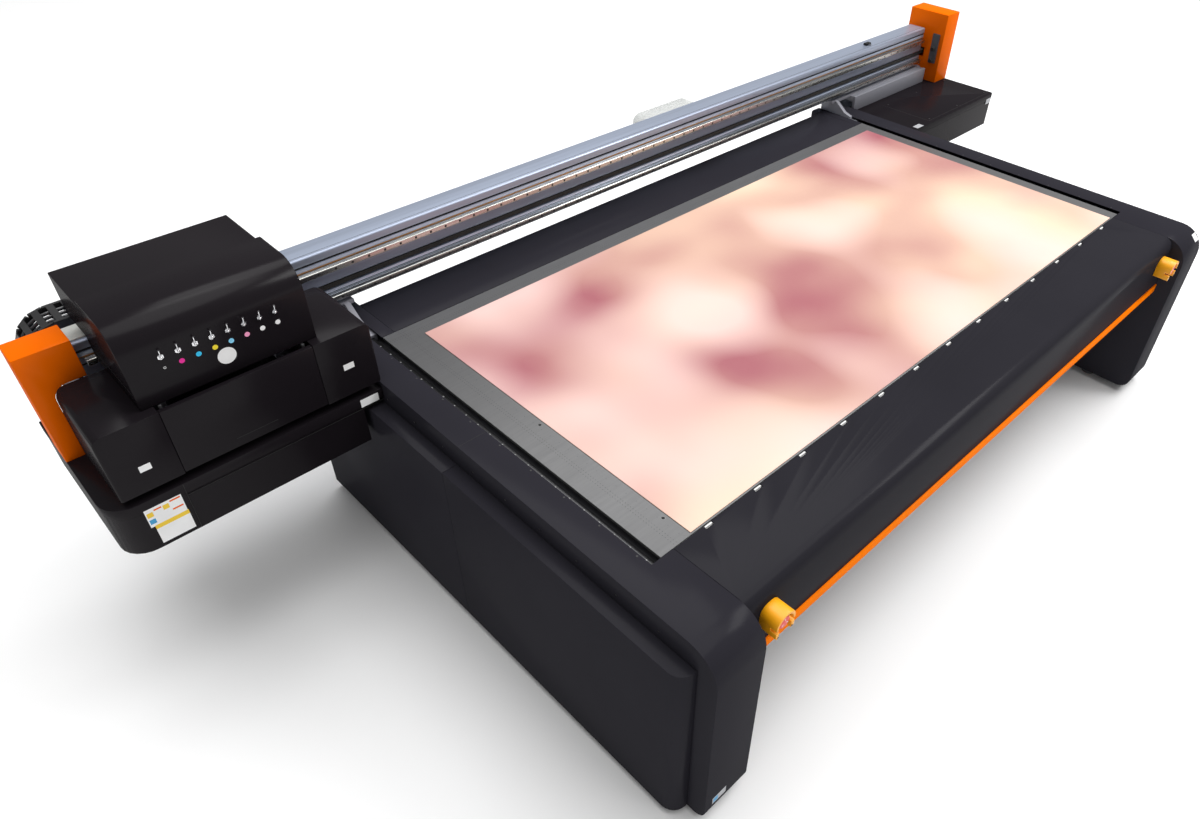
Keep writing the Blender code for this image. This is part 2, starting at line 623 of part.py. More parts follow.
def slot_bracket(side, name):
    """Leg of the gantry: blocks on the side rail, a plate up through the slot, an arm to the drive screw's
    nut, and the box section that carries the tray or wing."""
    half = 0.010
    y0, y1 = BEAM_Y - 0.152, BEAM_BACK - 0.030
    low, high = mirrored(side, RAIL_X - half, RAIL_X + half)
    top = BEAM_Z0 - GAP
    outline = [(y0 + 0.030, BLOCK_TOP - 0.004), (y1, BLOCK_TOP - 0.004), (y1, top - 0.003),
               (BEAM_Y - 0.030, top - 0.003), (BEAM_Y - 0.085, BED_TOP + 0.016), (y0 + 0.030, BED_TOP + 0.006)]
    leg = prism(name, [outline], "X", low, high)
    pieces = []
    low, high = mirrored(side, RAIL_X - BLOCK_W / 2, RAIL_X + BLOCK_W / 2)
    block = box(name + "_block", (low, y0, RAIL_BASE + 0.004), (high, y1, BLOCK_TOP))
    channel_x = Y_RAIL_W / 2 + 0.0008
    channel = mirrored(side, RAIL_X - channel_x, RAIL_X + channel_x)
    pieces.append(block)
    low, high = mirrored(side, RAIL_X - 0.030, SIDE_REACH - 0.146)
    pieces.append(box(name + "_flange", (low, BEAM_Y - 0.020, top - 0.014), (high, BEAM_BACK - 0.020, top)))
    low, high = mirrored(side, SIDE_OUT + 0.005, SIDE_REACH - 0.146)
    pieces.append(box(name + "_wing_carrier", (low, BEAM_Y - 0.055, TRAY_TOP + GAP),
                      (high, BEAM_Y - 0.0403, top - 0.004)))
    pieces.append(box(name + "_wing_shelf", (low + 0.001, BEAM_Y - 0.050, TRAY_TOP + 0.045),
                      (high - 0.001, BEAM_Y + 0.010, top - 0.006)))
    low, high = mirrored(side, RAIL_X + 0.012, SCREW_X + 0.020)
    pieces.append(box(name + "_arm", (low, NUT_Y - 0.020, RAIL_BASE + 0.012),
                      (high, NUT_Y + 0.020, BLOCK_TOP - 0.002)))
    low, high = mirrored(side, SCREW_X - 0.020, SCREW_X + 0.020)
    pieces.append(box(name + "_nut", (low, NUT_Y - 0.019, SCREW_Z - 0.020),
                      (high, NUT_Y + 0.019, RAIL_BASE + 0.020)))
    join(leg, *pieces)
    groove = box(name + "_rail_groove", (channel[0], y0 - 0.010, RAIL_BASE - 0.010),
                 (channel[1], y1 + 0.010, RAIL_TOP + 0.0008))
    nut_hole = rod(name + "_nut_hole", (side * SCREW_X, NUT_Y - 0.040, SCREW_Z), 0.080,
                   SCREW_R + 0.0015, "Y", 16)
    cut(leg, groove, nut_hole)
    return keep(leg, BRACKET)


def side_tray(side, name, corner_r):
    """Hollow tray or wing at one end of the gantry: a top plate that reaches the table, over a deeper box."""
    back = TRAY_Y + TRAY_D
    inner_plate, inner_box = SIDE_OUT + 0.0025, CABINET_OUT + CABINET_CLEAR

    def plan(inset, inside):
        radius = max(corner_r - inset, 0.001)
        if side > 0:
            return round_box(inside, TRAY_Y + inset, SIDE_REACH - inset, back - inset, (0, radius, 0, 0), 6)
        return round_box(-SIDE_REACH + inset, TRAY_Y + inset, -inside, back - inset, (radius, 0, 0, 0), 6)

    low = TRAY_TOP - TRAY_H
    tray = prism(name, [plan(0, inner_plate)], "Z", TRAY_TOP - TRAY_PLATE, TRAY_TOP)
    lower = prism(name + "_box", [plan(0.002, inner_box)], "Z", low, TRAY_TOP - 0.010)
    hollow = prism(name + "_hollow", [plan(0.002 + SHEET, inner_box + SHEET)], "Z",
                   low - 0.010, TRAY_TOP - 0.004)
    join(tray, lower)
    cut(tray, hollow)
    return tray


def tray_left():
    """Maintenance tray under the parked carriage, with the hole for the cap tray."""
    tray = side_tray(-1, "tray_left", TRAY_R)
    hole = box("cap_hole", (CARRIAGE_X - 0.185, HOUSING_Y + 0.043, TRAY_TOP - 0.020),
               (CARRIAGE_X + 0.185, HOUSING_Y + 0.273, TRAY_TOP + 0.010))
    return keep(cut(tray, hole), CARRIAGE_BLACK)


def cap_tray():
    """Pan that rises to cap the print heads."""
    x0, x1 = CARRIAGE_X - 0.180, CARRIAGE_X + 0.180
    y0, y1 = HOUSING_Y + 0.048, HOUSING_Y + 0.268
    pan = box("cap_tray", (x0, y0, TRAY_TOP - 0.040), (x1, y1, TRAY_TOP + 0.001))
    wells = []
    for i in (-1, 1):
        middle = CARRIAGE_X + i * 0.085
        wells.append(((middle - 0.070, y0 + 0.020, TRAY_TOP - 0.025),
                      (middle + 0.070, y1 - 0.020, TRAY_TOP + 0.010)))
    return keep(cut(pan, merge_boxes("cap_wells", wells)), RUBBER)


def end_cover_left():
    """Orange cover at the beam's left end, cut away where the carriage parks, open at the back."""
    x0, x1 = -SIDE_REACH, -SIDE_REACH + END_COVER_W
    leg = x0 + NOTCH_LEG
    z0 = TRAY_TOP + GAP

    def outline(inset, base):
        corner = (leg + NOTCH_R, NOTCH_Z - NOTCH_R)
        points = [(x0 + inset, base), (leg - inset, base)]
        points += arc(corner, NOTCH_R + inset, 180, 90, 6)
        points += [(x1 - inset, NOTCH_Z + inset), (x1 - inset, END_COVER_TOP - inset)]
        return points + [(x0 + inset, END_COVER_TOP - inset)]

    y1 = END_COVER_Y + LEFT_COVER_D
    cover = prism("end_cover_left", [outline(0, z0)], "Y", END_COVER_Y, y1)
    inner = prism("end_cover_left_inside", [outline(SHEET, z0 + SHEET)], "Y", END_COVER_Y + SHEET, y1 + 0.010)
    return keep(cut(cover, inner), ORANGE)


def end_cover_right():
    """Tall orange cover over the idler pulley, with a window for the belt."""
    x0 = SIDE_REACH - END_COVER_W + 0.0245
    x1 = x0 + RIGHT_COVER_W
    y0, y1 = END_COVER_Y, END_COVER_Y + RIGHT_COVER_D
    z0 = TRAY_TOP + GAP
    cover = box("end_cover_right", (x0, y0, z0), (x1, y1, END_COVER_TOP + 0.007))
    inner = box("end_cover_right_inside", (x0 + SHEET, y0 + SHEET, z0 + SHEET),
                (x1 - SHEET, y1 - SHEET, END_COVER_TOP + 0.007 - SHEET))
    window = box("end_cover_right_window", (x0 - 0.010, BELT_Y - 0.032, CHANNEL_Z - 0.010),
                 (x0 + 0.020, BELT_Y + 0.032, CHANNEL_Z + CHANNEL_H + 0.010))
    return keep(cut(cover, inner, window), ORANGE)


def belt():
    """Toothed belt round the two pulleys, in the beam's channel."""
    def loop(radius):
        points = arc((IDLER_X, BELT_Y), radius, -90, 90, 12)
        return points + arc((DRIVE_X, BELT_Y), radius, 90, 270, 12)

    inner = PULLEY_R + 0.0005
    band = prism("x_belt", [loop(inner + BELT_T), loop(inner)], "Z", BELT_Z - BELT_H / 2, BELT_Z + BELT_H / 2)
    return keep(band, RUBBER)


def pulley(name, x):
    wheel = rod(name, (x, BELT_Y, BELT_Z - 0.010), 0.020, PULLEY_R, "Z", 24)
    return keep(set_origin(wheel, (x, BELT_Y, BELT_Z)), HEAD_METAL)


def x_motor():
    """Servo motor under the drive pulley, standing on the tray."""
    half = 0.028
    top = BELT_Z - 0.0106
    motor = box("x_motor", (DRIVE_X - half, BELT_Y - half, TRAY_TOP + GAP),
                (DRIVE_X + half, BELT_Y + half, top - 0.010))
    boss = rod("x_motor_boss", (DRIVE_X, BELT_Y, top - 0.020), 0.020, 0.012, "Z", 16)
    return keep(join(motor, boss), MOTOR)


def energy_chain():
    """Cable chain behind the beam: lower run on the ledge, a rolling bend at the left and the upper run to
    the carriage's arm."""
    half = CHAIN_T / 2
    bend_x, bend_z = -SIDE_REACH + 0.048 + CHAIN_R + half, CHAIN_Z0 + half + CHAIN_R
    outer, inner = CHAIN_R + half, CHAIN_R - half
    y0, y1 = CHAIN_Y, CHAIN_Y + CHAIN_W
    upper_end = CARRIAGE_X + 0.150
    outline = arc((bend_x, bend_z), inner, 270, 90, 12)
    outline += [(upper_end, bend_z + inner), (upper_end, bend_z + outer)]
    outline += arc((bend_x, bend_z), outer, 90, 270, 12)
    keep(prism("chain_bend", [outline], "Y", y0, y1), CHAIN)
    keep(box("chain_lower", (bend_x + 0.0005, y0, bend_z - outer), (CHAIN_END, y1, bend_z - inner)), CHAIN)


def ink_rack():
    """Ink tank box behind the gantry, on an arm under the chain."""
    y1 = BEAM_Y + INK_BEHIND
    y0 = y1 - INK_D
    outline = round_box(INK_X[0], INK_Z[0], INK_X[1], INK_Z[1], (0.006, 0.006, 0.040, 0.040), 5)
    rack = prism("ink_rack", [outline], "Y", y0, y1)
    arm = box("ink_rack_arm", (INK_X[0] + 0.060, BEAM_BACK + 0.010, BEAM_Z0 - 0.030),
              (INK_X[1] - 0.060, y0 + 0.020, BEAM_Z0 - GAP))
    return keep(join(rack, arm), SMOKED)


# ---- the carriage --------------------------------------------------------------------------------------
def carriage_plate():
    """Plate on four bearing blocks along the beam's rails, with the belt clamp and the chain's arm."""
    front, back = BEAM_Y - X_RAIL_DEEP - 0.031, BEAM_Y - X_RAIL_DEEP - 0.015
    x0, x1 = CARRIAGE_X - 0.195, CARRIAGE_X + 0.195
    plate = box("carriage_plate", (x0, front, X_RAIL_Z[0] - 0.010), (x1, back, BEAM_TOP + 0.010))
    pieces, grooves = [], []
    for row, z in enumerate(X_RAIL_Z):
        middle = z + X_RAIL / 2
        for i in (-1, 1):
            x = CARRIAGE_X + i * 0.140
            pieces.append(box(f"x_block_{row}_{i}", (x - 0.040, back - 0.004, middle - 0.021),
                              (x + 0.040, BEAM_Y - 0.006, middle + 0.021)))
        clearance = 0.0008
        grooves.append(((x0 - 0.010, BEAM_Y - X_RAIL_DEEP - clearance, z - clearance),
                        (x1 + 0.010, BEAM_Y + 0.020, z + X_RAIL + clearance)))
    arm_x = (CARRIAGE_X + 0.060, CARRIAGE_X + 0.150)
    pieces.append(box("arm_riser", (arm_x[0], front + 0.001, BEAM_TOP - 0.020),
                      (arm_x[1], back - 0.001, ARM_Z + 0.012)))
    pieces.append(box("arm_top", (arm_x[0] + 0.001, front + 0.002, ARM_Z),
                      (arm_x[1] - 0.001, CHAIN_Y + CHAIN_W, ARM_Z + 0.010)))
    pieces.append(box("belt_clamp", (CARRIAGE_X - 0.030, back - 0.002, CHANNEL_Z + 0.004),
                      (CARRIAGE_X + 0.030, BELT_Y - PULLEY_R - BELT_T - 0.0012,
                       CHANNEL_Z + CHANNEL_H - 0.004)))
    join(plate, *pieces)
    cut(plate, merge_boxes("x_rail_grooves", grooves))
    return keep(plate, FRAME)


def head_frame():
    """Open box that carries the print heads and slides up the carriage plate."""
    x0, x1 = CARRIAGE_X - DOOR_W / 2 + 0.010, CARRIAGE_X + DOOR_W / 2 - 0.010
    y0, y1 = HOUSING_Y + 0.030, BEAM_Y - X_RAIL_DEEP - 0.0316
    frame = box("head_frame", (x0, y0, HEAD_PLATE_Z0), (x1, y1, BEAM_TOP - 0.030))
    inside = box("head_frame_inside", (x0 + 0.008, y0 - 0.020, HEAD_PLATE_Z0 + 0.012),
                 (x1 - 0.008, y1 - 0.020, BEAM_TOP))
    holes = []
    for i in (-1, 1):
        middle = CARRIAGE_X + i * 0.085
        holes.append(((middle - 0.061, HOUSING_Y + 0.069, HEAD_PLATE_Z0 - 0.010),
                      (middle + 0.061, HOUSING_Y + 0.251, HEAD_PLATE_Z0 + 0.030)))
    step = box("head_frame_step", (x0 - 0.010, HOUSING_Y + 0.279, HEAD_PLATE_Z0 - 0.010),
               (x1 + 0.010, y1 + 0.010, BEAM_Z0 + 0.006))
    return keep(cut(frame, inside, merge_boxes("head_holes", holes), step), HEAD_METAL)


def print_heads():
    """Two blocks of print heads that reach through the head frame's floor, under one manifold."""
    y0, y1 = HOUSING_Y + 0.070, HOUSING_Y + 0.250
    manifold = box("print_heads", (CARRIAGE_X - 0.150, y0 + 0.010, 0.870),
                   (CARRIAGE_X + 0.150, y1 - 0.010, 0.900))
    blocks = []
    for i in (-1, 1):
        middle = CARRIAGE_X + i * 0.085
        blocks.append(((middle - 0.060, y0, HEAD_PLATE_Z0 + 0.001), (middle + 0.060, y1, 0.880)))
    return keep(join(manifold, merge_boxes("head_blocks", blocks)), MOTOR)


def hood_profile(base_front, base_back):
    """Side outline of the hood: curved front, step in the top, raised at the back to pass over the beam."""
    back, step_y = BEAM_Y + HOOD_BACK, HOOD_Y + HOOD_STEP_Y
    clear_y = BEAM_Y - X_RAIL_DEEP - 0.045
    points = [(HOOD_Y, base_front)]
    points += list(reversed(arc((HOOD_Y + HOOD_R, HOOD_TOP - HOOD_R), HOOD_R, 90, 180, 10)))
    points += [(step_y, HOOD_TOP), (step_y, HOOD_TOP - HOOD_STEP), (back, HOOD_TOP - HOOD_STEP), (back, base_back),
               (clear_y, base_back), (clear_y, base_front)]
    return points


def hood():
    x0, x1 = CARRIAGE_X - HOOD_W / 2, CARRIAGE_X + HOOD_W / 2
    base_back = BEAM_TOP + 0.050
    cover = prism("hood", [hood_profile(HOOD_Z0, base_back)], "X", x0, x1)
    y0, y1 = HOOD_Y + SHEET, BEAM_Y + HOOD_BACK - SHEET
    radius = HOOD_R - SHEET
    top, step_y = HOOD_TOP - SHEET, HOOD_Y + HOOD_STEP_Y - SHEET
    space = [(y0, HOOD_Z0 - 0.030)] + list(reversed(arc((y0 + radius, top - radius), radius, 90, 180, 10)))
    space += [(step_y, top), (step_y, top - HOOD_STEP), (y1, top - HOOD_STEP), (y1, HOOD_Z0 - 0.030)]
    inner = prism("hood_inside", [space], "X", x0 + SHEET, x1 - SHEET)
    return keep(cut(cover, inner), CARRIAGE_BLACK)


def lamp_cover(side, name):
    """Sheet cover over one UV lamp beside the heads, open at the bottom and towards the heads."""
    inner = CARRIAGE_X + side * (DOOR_W / 2)
    outer = inner + side * (HOUSING_RIGHT_W if side > 0 else HOUSING_LEFT_W)
    back = HOUSING_Y + HOUSING_D
    top = HOOD_Z0 - GAP

    def plan(inset, inside):
        radius = 0.035 - inset
        front_r = 0.008
        if side > 0:
            return round_box(inside, HOUSING_Y + inset, outer - inset, back - inset,
                             (0, front_r, radius, 0), 5)
        return round_box(outer + inset, HOUSING_Y + inset, inside, back - inset, (front_r, 0, 0, radius), 5)

    def front_view(inset, inside, base):
        radius = LAMP_COVER_R - inset
        if side > 0:
            return round_box(inside, base, outer - inset, top - inset, (0, 0, radius, 0), 5)
        return round_box(outer + inset, base, inside, top - inset, (0, 0, 0, radius), 5)

    cover = prism(name, [plan(0, inner)], "Z", HOUSING_Z0, top)
    rounding = prism(name + "_rounding", [front_view(0, inner - side * 0.010, HOUSING_Z0 - 0.010)], "Y",
                     HOUSING_Y - 0.010, back + 0.010)
    hollow = prism(name + "_inside", [front_view(SHEET, inner - side * 0.010, HOUSING_Z0 - 0.010)], "Y",
                   HOUSING_Y + SHEET, back - SHEET)
    hollow_plan = prism(name + "_inside_plan", [plan(SHEET, inner - side * 0.010)], "Z",
                        HOUSING_Z0 - 0.020, top)
    shape(hollow, hollow_plan, "INTERSECT")
    shape(cover, rounding, "INTERSECT")
    return keep(cut(cover, hollow), CARRIAGE_BLACK)


def uv_lamp(side, name):
    middle = CARRIAGE_X + side * (DOOR_W / 2 + 0.082)
    lamp = box(name, (middle - 0.055, HOUSING_Y + 0.030, HOUSING_Z0 + 0.006),
               (middle + 0.055, HOUSING_Y + 0.240, 0.900))
    fan = rod(name + "_fan", (middle, HOUSING_Y + 0.135, 0.890), 0.040, 0.045, "Z", 24)
    return keep(join(lamp, fan), MOTOR)


DOOR_AXIS = (HOUSING_Y + 0.008, HOOD_Z0 - 0.010)


def front_door():
    """Middle door of the carriage, hinged along its top edge."""
    half = DOOR_W / 2 - 0.0012
    top = HOOD_Z0 - 0.002
    door = box("front_door", (CARRIAGE_X - half, HOUSING_Y, HOUSING_Z0 + 0.004),
               (CARRIAGE_X + half, HOUSING_Y + 0.016, top))
    pocket = box("front_door_pocket", (CARRIAGE_X - half + 0.010, HOUSING_Y + SHEET, HOUSING_Z0 + 0.014),
                 (CARRIAGE_X + half - 0.010, HOUSING_Y + 0.030, top - 0.020))
    cut(door, pocket)
    set_origin(door, (CARRIAGE_X, *DOOR_AXIS))
    bpy.context.view_layer.update()
    set_origin(pocket, (CARRIAGE_X, *DOOR_AXIS))
    return keep(door, CARRIAGE_BLACK)


def lever(index):
    """Toggle lever on the hood's front, tilted up at rest."""
    name = f"lever_{index + 1}"
    x = CARRIAGE_X + (index - (LEVER_COUNT - 1) / 2) * LEVER_PITCH
    pivot = (x, HOOD_Y - 0.0046, LEVER_Z)
    bm = bmesh.new()
    bmesh.ops.create_uvsphere(bm, u_segments=12, v_segments=8, radius=0.0040)
    ball = from_bmesh(name, bm)
    bm = bmesh.new()
    bmesh.ops.create_cone(bm, cap_ends=True, segments=12, radius1=0.0018, radius2=0.0030,
                          depth=LEVER_L - 0.002)
    for vert in bm.verts:
        vert.co.z += LEVER_L / 2 + 0.001
    bat = from_bmesh(name + "_bat", bm)
    bat.rotation_euler = (math.radians(90) - LEVER_TILT, 0, 0)
    bake(bat)
    bat.location = pivot
    ball.location = pivot
    smooth(ball)
    return keep(join(ball, bat), CHROME)


def build():
    clear_scene()
    table_frame()
    for side, word in ((-1, "left"), (1, "right")):
        side_cover(side, "side_cover_" + word)
        y_rail(side, "y_rail_" + word)
        y_screw(side, "y_screw_" + word)
        y_motor(side, "y_motor_" + word)
        emergency_stop(side, word)
        slot_bracket(side, "bracket_" + word)
        lamp_cover(side, "lamp_cover_" + word)
        uv_lamp(side, "uv_lamp_" + word)
    front = FRONT_Y + CABINET_SETBACK
    split = FRONT_Y + CABINET_SPLIT
    cabinet(-1, "cabinet_front_left", front, split - 0.001, CABINET_R)
    cabinet(-1, "cabinet_rear_left", split, PEDESTAL_BACK, 0.0)
    cabinet(1, "cabinet_right", front, PEDESTAL_BACK, CABINET_R)
    bed_plate()
    vacuum_plenum()
    vacuum_blower()
    front_cover()
    trim_strip()
    rear_cover()
    pin_bar()
    beam()
    beam_top_cover()
    x_rail("x_rail_lower", X_RAIL_Z[0])
    x_rail("x_rail_upper", X_RAIL_Z[1])
    tray_left()
    keep(side_tray(1, "wing_right", 0.012), CARRIAGE_BLACK)
    cap_tray()
    end_cover_left()
    end_cover_right()
    belt()
    pulley("drive_pulley", DRIVE_X)
    pulley("idler_pulley", IDLER_X)
    x_motor()
    energy_chain()
    ink_rack()
    carriage_plate()
    head_frame()
    print_heads()
    hood()
    front_door()
    for index in range(LEVER_COUNT):
        lever(index)


build()
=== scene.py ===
"""Looks of the flatbed UV printer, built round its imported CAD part. Row frame, metres."""

import math

import bmesh
import bpy
from mathutils import Matrix, Vector


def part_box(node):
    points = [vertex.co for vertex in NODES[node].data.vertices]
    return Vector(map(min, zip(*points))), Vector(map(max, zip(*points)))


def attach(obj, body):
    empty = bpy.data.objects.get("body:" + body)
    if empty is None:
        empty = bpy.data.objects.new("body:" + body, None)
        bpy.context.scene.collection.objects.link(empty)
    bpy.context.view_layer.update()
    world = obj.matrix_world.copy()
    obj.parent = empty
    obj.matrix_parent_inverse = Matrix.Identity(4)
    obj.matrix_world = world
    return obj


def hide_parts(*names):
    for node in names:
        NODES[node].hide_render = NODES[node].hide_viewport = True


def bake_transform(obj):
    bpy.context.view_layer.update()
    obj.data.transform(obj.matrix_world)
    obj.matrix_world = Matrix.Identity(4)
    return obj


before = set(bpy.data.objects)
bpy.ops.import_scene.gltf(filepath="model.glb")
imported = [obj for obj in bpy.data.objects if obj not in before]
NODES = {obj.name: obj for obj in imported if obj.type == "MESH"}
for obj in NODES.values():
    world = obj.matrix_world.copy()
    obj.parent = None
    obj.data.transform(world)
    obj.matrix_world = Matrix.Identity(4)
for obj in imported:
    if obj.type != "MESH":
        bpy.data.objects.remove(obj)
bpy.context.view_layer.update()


# ---- places read from the CAD part ---------------------------------------------------------------------
def low(node):
    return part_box(node)[0]


def high(node):
    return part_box(node)[1]


BED_TOP = high("bed_plate").z
BEAM_Y = low("beam").y
HOOD_X = (low("hood").x + high("hood").x) / 2
HOOD_Y = low("hood").y
DOOR_Y = low("front_door").y
TRAY_Y = low("tray_left").y
TRAY_TOP = high("tray_left").z

# ---- sizes of the details ------------------------------------------------------------------------------
HOLE_FIELD_X, HOLE_FIELD_Y = (-1.27, 1.27), (-0.79, 0.44)
HOLE_PITCH, HOLE_R = 0.040, 0.0010
MARK_PITCH, MARK_R = 0.010, 0.0012
BACK_MARKS_Y, SIDE_MARKS_X = (0.4435, 0.4635), (-1.2985, -1.2785)
BOLT_PITCH, BOLT_FROM_START, BOLT_FROM_END = 0.060, 0.030, 0.010
DECK_SEAM_Y = (-0.1175, -0.1160)
DECK_SEAM_FROM_BED, DECK_SEAM_FROM_SIDE = 0.032, 0.004
DECK_SCREWS, DECK_SCREW_FROM_BED, DECK_SCREW_Y, DECK_SCREW_STEP = 11, 0.040, -0.76, 0.142
BED_SCREW_X, BED_SCREW_Y = 1.2513, (-0.713, -0.201)
SIDE_SCREWS, SIDE_SCREW_Y, SIDE_SCREW_STEP, SIDE_SCREW_Z = 10, -0.93, 0.150, 0.705
FOOT_X, FOOT_FROM_FRONT, FOOT_FROM_REAR = 1.367, 0.083, 0.087
WING_SCREW_X, WING_SCREW_Y = (1.70, 1.97, 2.25), (0.035, 0.285)
BEND_LINKS, LINK_PITCH = 7, 0.0385
HOSES, HOSE_R, HOSE_Y, HOSE_STEP, HOSE_LIFT = 7, 0.0050, 0.016, 0.0125, 0.004
DOT_BELOW_LEVER = 0.034
SHEET_LOW, SHEET_HIGH = (-1.237, -0.799, 0.0003), (1.289, 0.4215, 0.0028)

# ---- settings of the looks -----------------------------------------------------------------------------
FINE_BUMP = 0.0002
SMOOTH_ANGLE = math.radians(35)
WORLD_LIGHT, SUN_LIGHT = 0.38, 1.6
FLOOR_SIZE, FLOOR_DOWN = 30, 0.0005

# ---- the photo's camera, fitted to points marked in the photo ------------------------------------------
CAMERA_AT = (-2.3934, -1.8087, 2.4578)
CAMERA_RIGHT = (0.70737531, -0.70644562, 0.0235533)
CAMERA_UP = (0.44128183, 0.46740251, 0.76603214)
CAMERA_BACK = (-0.55216892, -0.53147858, 0.64237061)
SENSOR_W, LENS, SHIFT_X, CLIP_END = 36.0, 26.36, -0.0545, 100


# ---- procedural materials ------------------------------------------------------------------------------
class Graph:
    """Short names for building one shader."""

    def __init__(self, name):
        self.mat = bpy.data.materials.new(name)
        self.mat.use_nodes = True
        self.tree = self.mat.node_tree
        self.shader = self.tree.nodes["Principled BSDF"]

    def add(self, kind, **values):
        made = self.tree.nodes.new(kind)
        for key, value in values.items():
            if key in made.inputs:
                made.inputs[key].default_value = value
            else:
                setattr(made, key, value)
        return made

    def link(self, source, target):
        self.tree.links.new(source, target)

    def math(self, operation, a, b=None):
        made = self.add("ShaderNodeMath", operation=operation)
        for slot_index, value in enumerate((a, b)):
            if value is None:
                continue
            if isinstance(value, (int, float)):
                made.inputs[slot_index].default_value = value
            else:
                self.link(value, made.inputs[slot_index])
        return made.outputs[0]

    def place(self, scale=(1, 1, 1)):
        where = self.add("ShaderNodeTexCoord")
        mapping = self.add("ShaderNodeMapping")
        mapping.inputs["Scale"].default_value = scale
        self.link(where.outputs["Object"], mapping.inputs["Vector"])
        return mapping.outputs["Vector"]

    def noise(self, scale, detail=3.0, stretch=(1, 1, 1)):
        made = self.add("ShaderNodeTexNoise", Scale=scale, Detail=detail)
        self.link(self.place(stretch), made.inputs["Vector"])
        return made.outputs["Fac"]

    def span(self, value, a, b, low_in=0.3, high_in=0.7):
        made = self.add("ShaderNodeMapRange")
        self.link(value, made.inputs["Value"])
        made.inputs["From Min"].default_value = low_in
        made.inputs["From Max"].default_value = high_in
        made.inputs["To Min"].default_value = a
        made.inputs["To Max"].default_value = b
        return made.outputs["Result"]

    def mix(self, factor, a, b):
        made = self.add("ShaderNodeMix", data_type="RGBA")
        self.link(factor, made.inputs["Factor"])
        for key, value in (("A", a), ("B", b)):
            target = [i for i in made.inputs if i.name == key and i.type == "RGBA"][0]
            if isinstance(value, tuple):
                target.default_value = (*value, 1.0)
            else:
                self.link(value, target)
        return [o for o in made.outputs if o.type == "RGBA"][0]

    def bump(self, height, strength, distance):
        made = self.add("ShaderNodeBump", Strength=strength, Distance=distance)
        self.link(height, made.inputs["Height"])
        self.link(made.outputs["Normal"], self.shader.inputs["Normal"])

    def set(self, key, value):
        if isinstance(value, (int, float)):
            self.shader.inputs[key].default_value = value
        else:
            self.link(value, self.shader.inputs[key])


def powder(name, colour, rough, specular=0.5, coat=0.0):
    """Powder coat: fine orange peel, faint cloudiness and a little handling wear in the roughness."""
    grain, spread = 0.10, 0.018
    g = Graph(name)
    cloud = g.noise(3.0, 4.0)
    dark = tuple(c * 0.95 for c in colour)
    light = tuple(min(c * 1.05, 1.0) for c in colour)
    g.set("Base Color", g.mix(g.span(cloud, 0.0, 1.0), dark, light))
    g.set("Roughness", g.span(g.noise(5.0, 6.0), rough - spread, rough + spread))
    g.set("Specular IOR Level", specular)
    g.set("Coat Weight", coat)
    g.set("Coat Roughness", 0.22)
    g.bump(g.noise(1400.0, 2.0), grain, FINE_BUMP)
    return g.mat


def brushed(name, colour, rough, stretch, metallic=1.0, streak=0.10, grain=0.15):
    """Drawn or ground metal with streaks along one axis."""
    g = Graph(name)
    lines = g.noise(60.0, 4.0, stretch)
    dark = tuple(c * (1 - streak) for c in colour)
    g.set("Base Color", g.mix(g.span(lines, 0.0, 1.0), dark, colour))
    g.set("Roughness", g.span(g.noise(110.0, 3.0, stretch), rough - 0.06, rough + 0.08))
    g.set("Metallic", metallic)
    g.bump(lines, grain, FINE_BUMP)
    return g.mat


def plastic(name, colour, rough, grain=0.1, alpha=None):
    """Moulded plastic, rubber or a printed card, with a fine grain."""
    g = Graph(name)
    cloud = g.noise(14.0, 3.0)
    g.set("Base Color", g.mix(g.span(cloud, 0.0, 1.0), tuple(c * 0.93 for c in colour), colour))
    g.set("Roughness", g.span(g.noise(35.0, 4.0), rough - 0.05, rough + 0.05))
    g.bump(g.noise(700.0, 2.0), grain, FINE_BUMP)
    if alpha is not None:
        g.set("Alpha", alpha)
    return g.mat


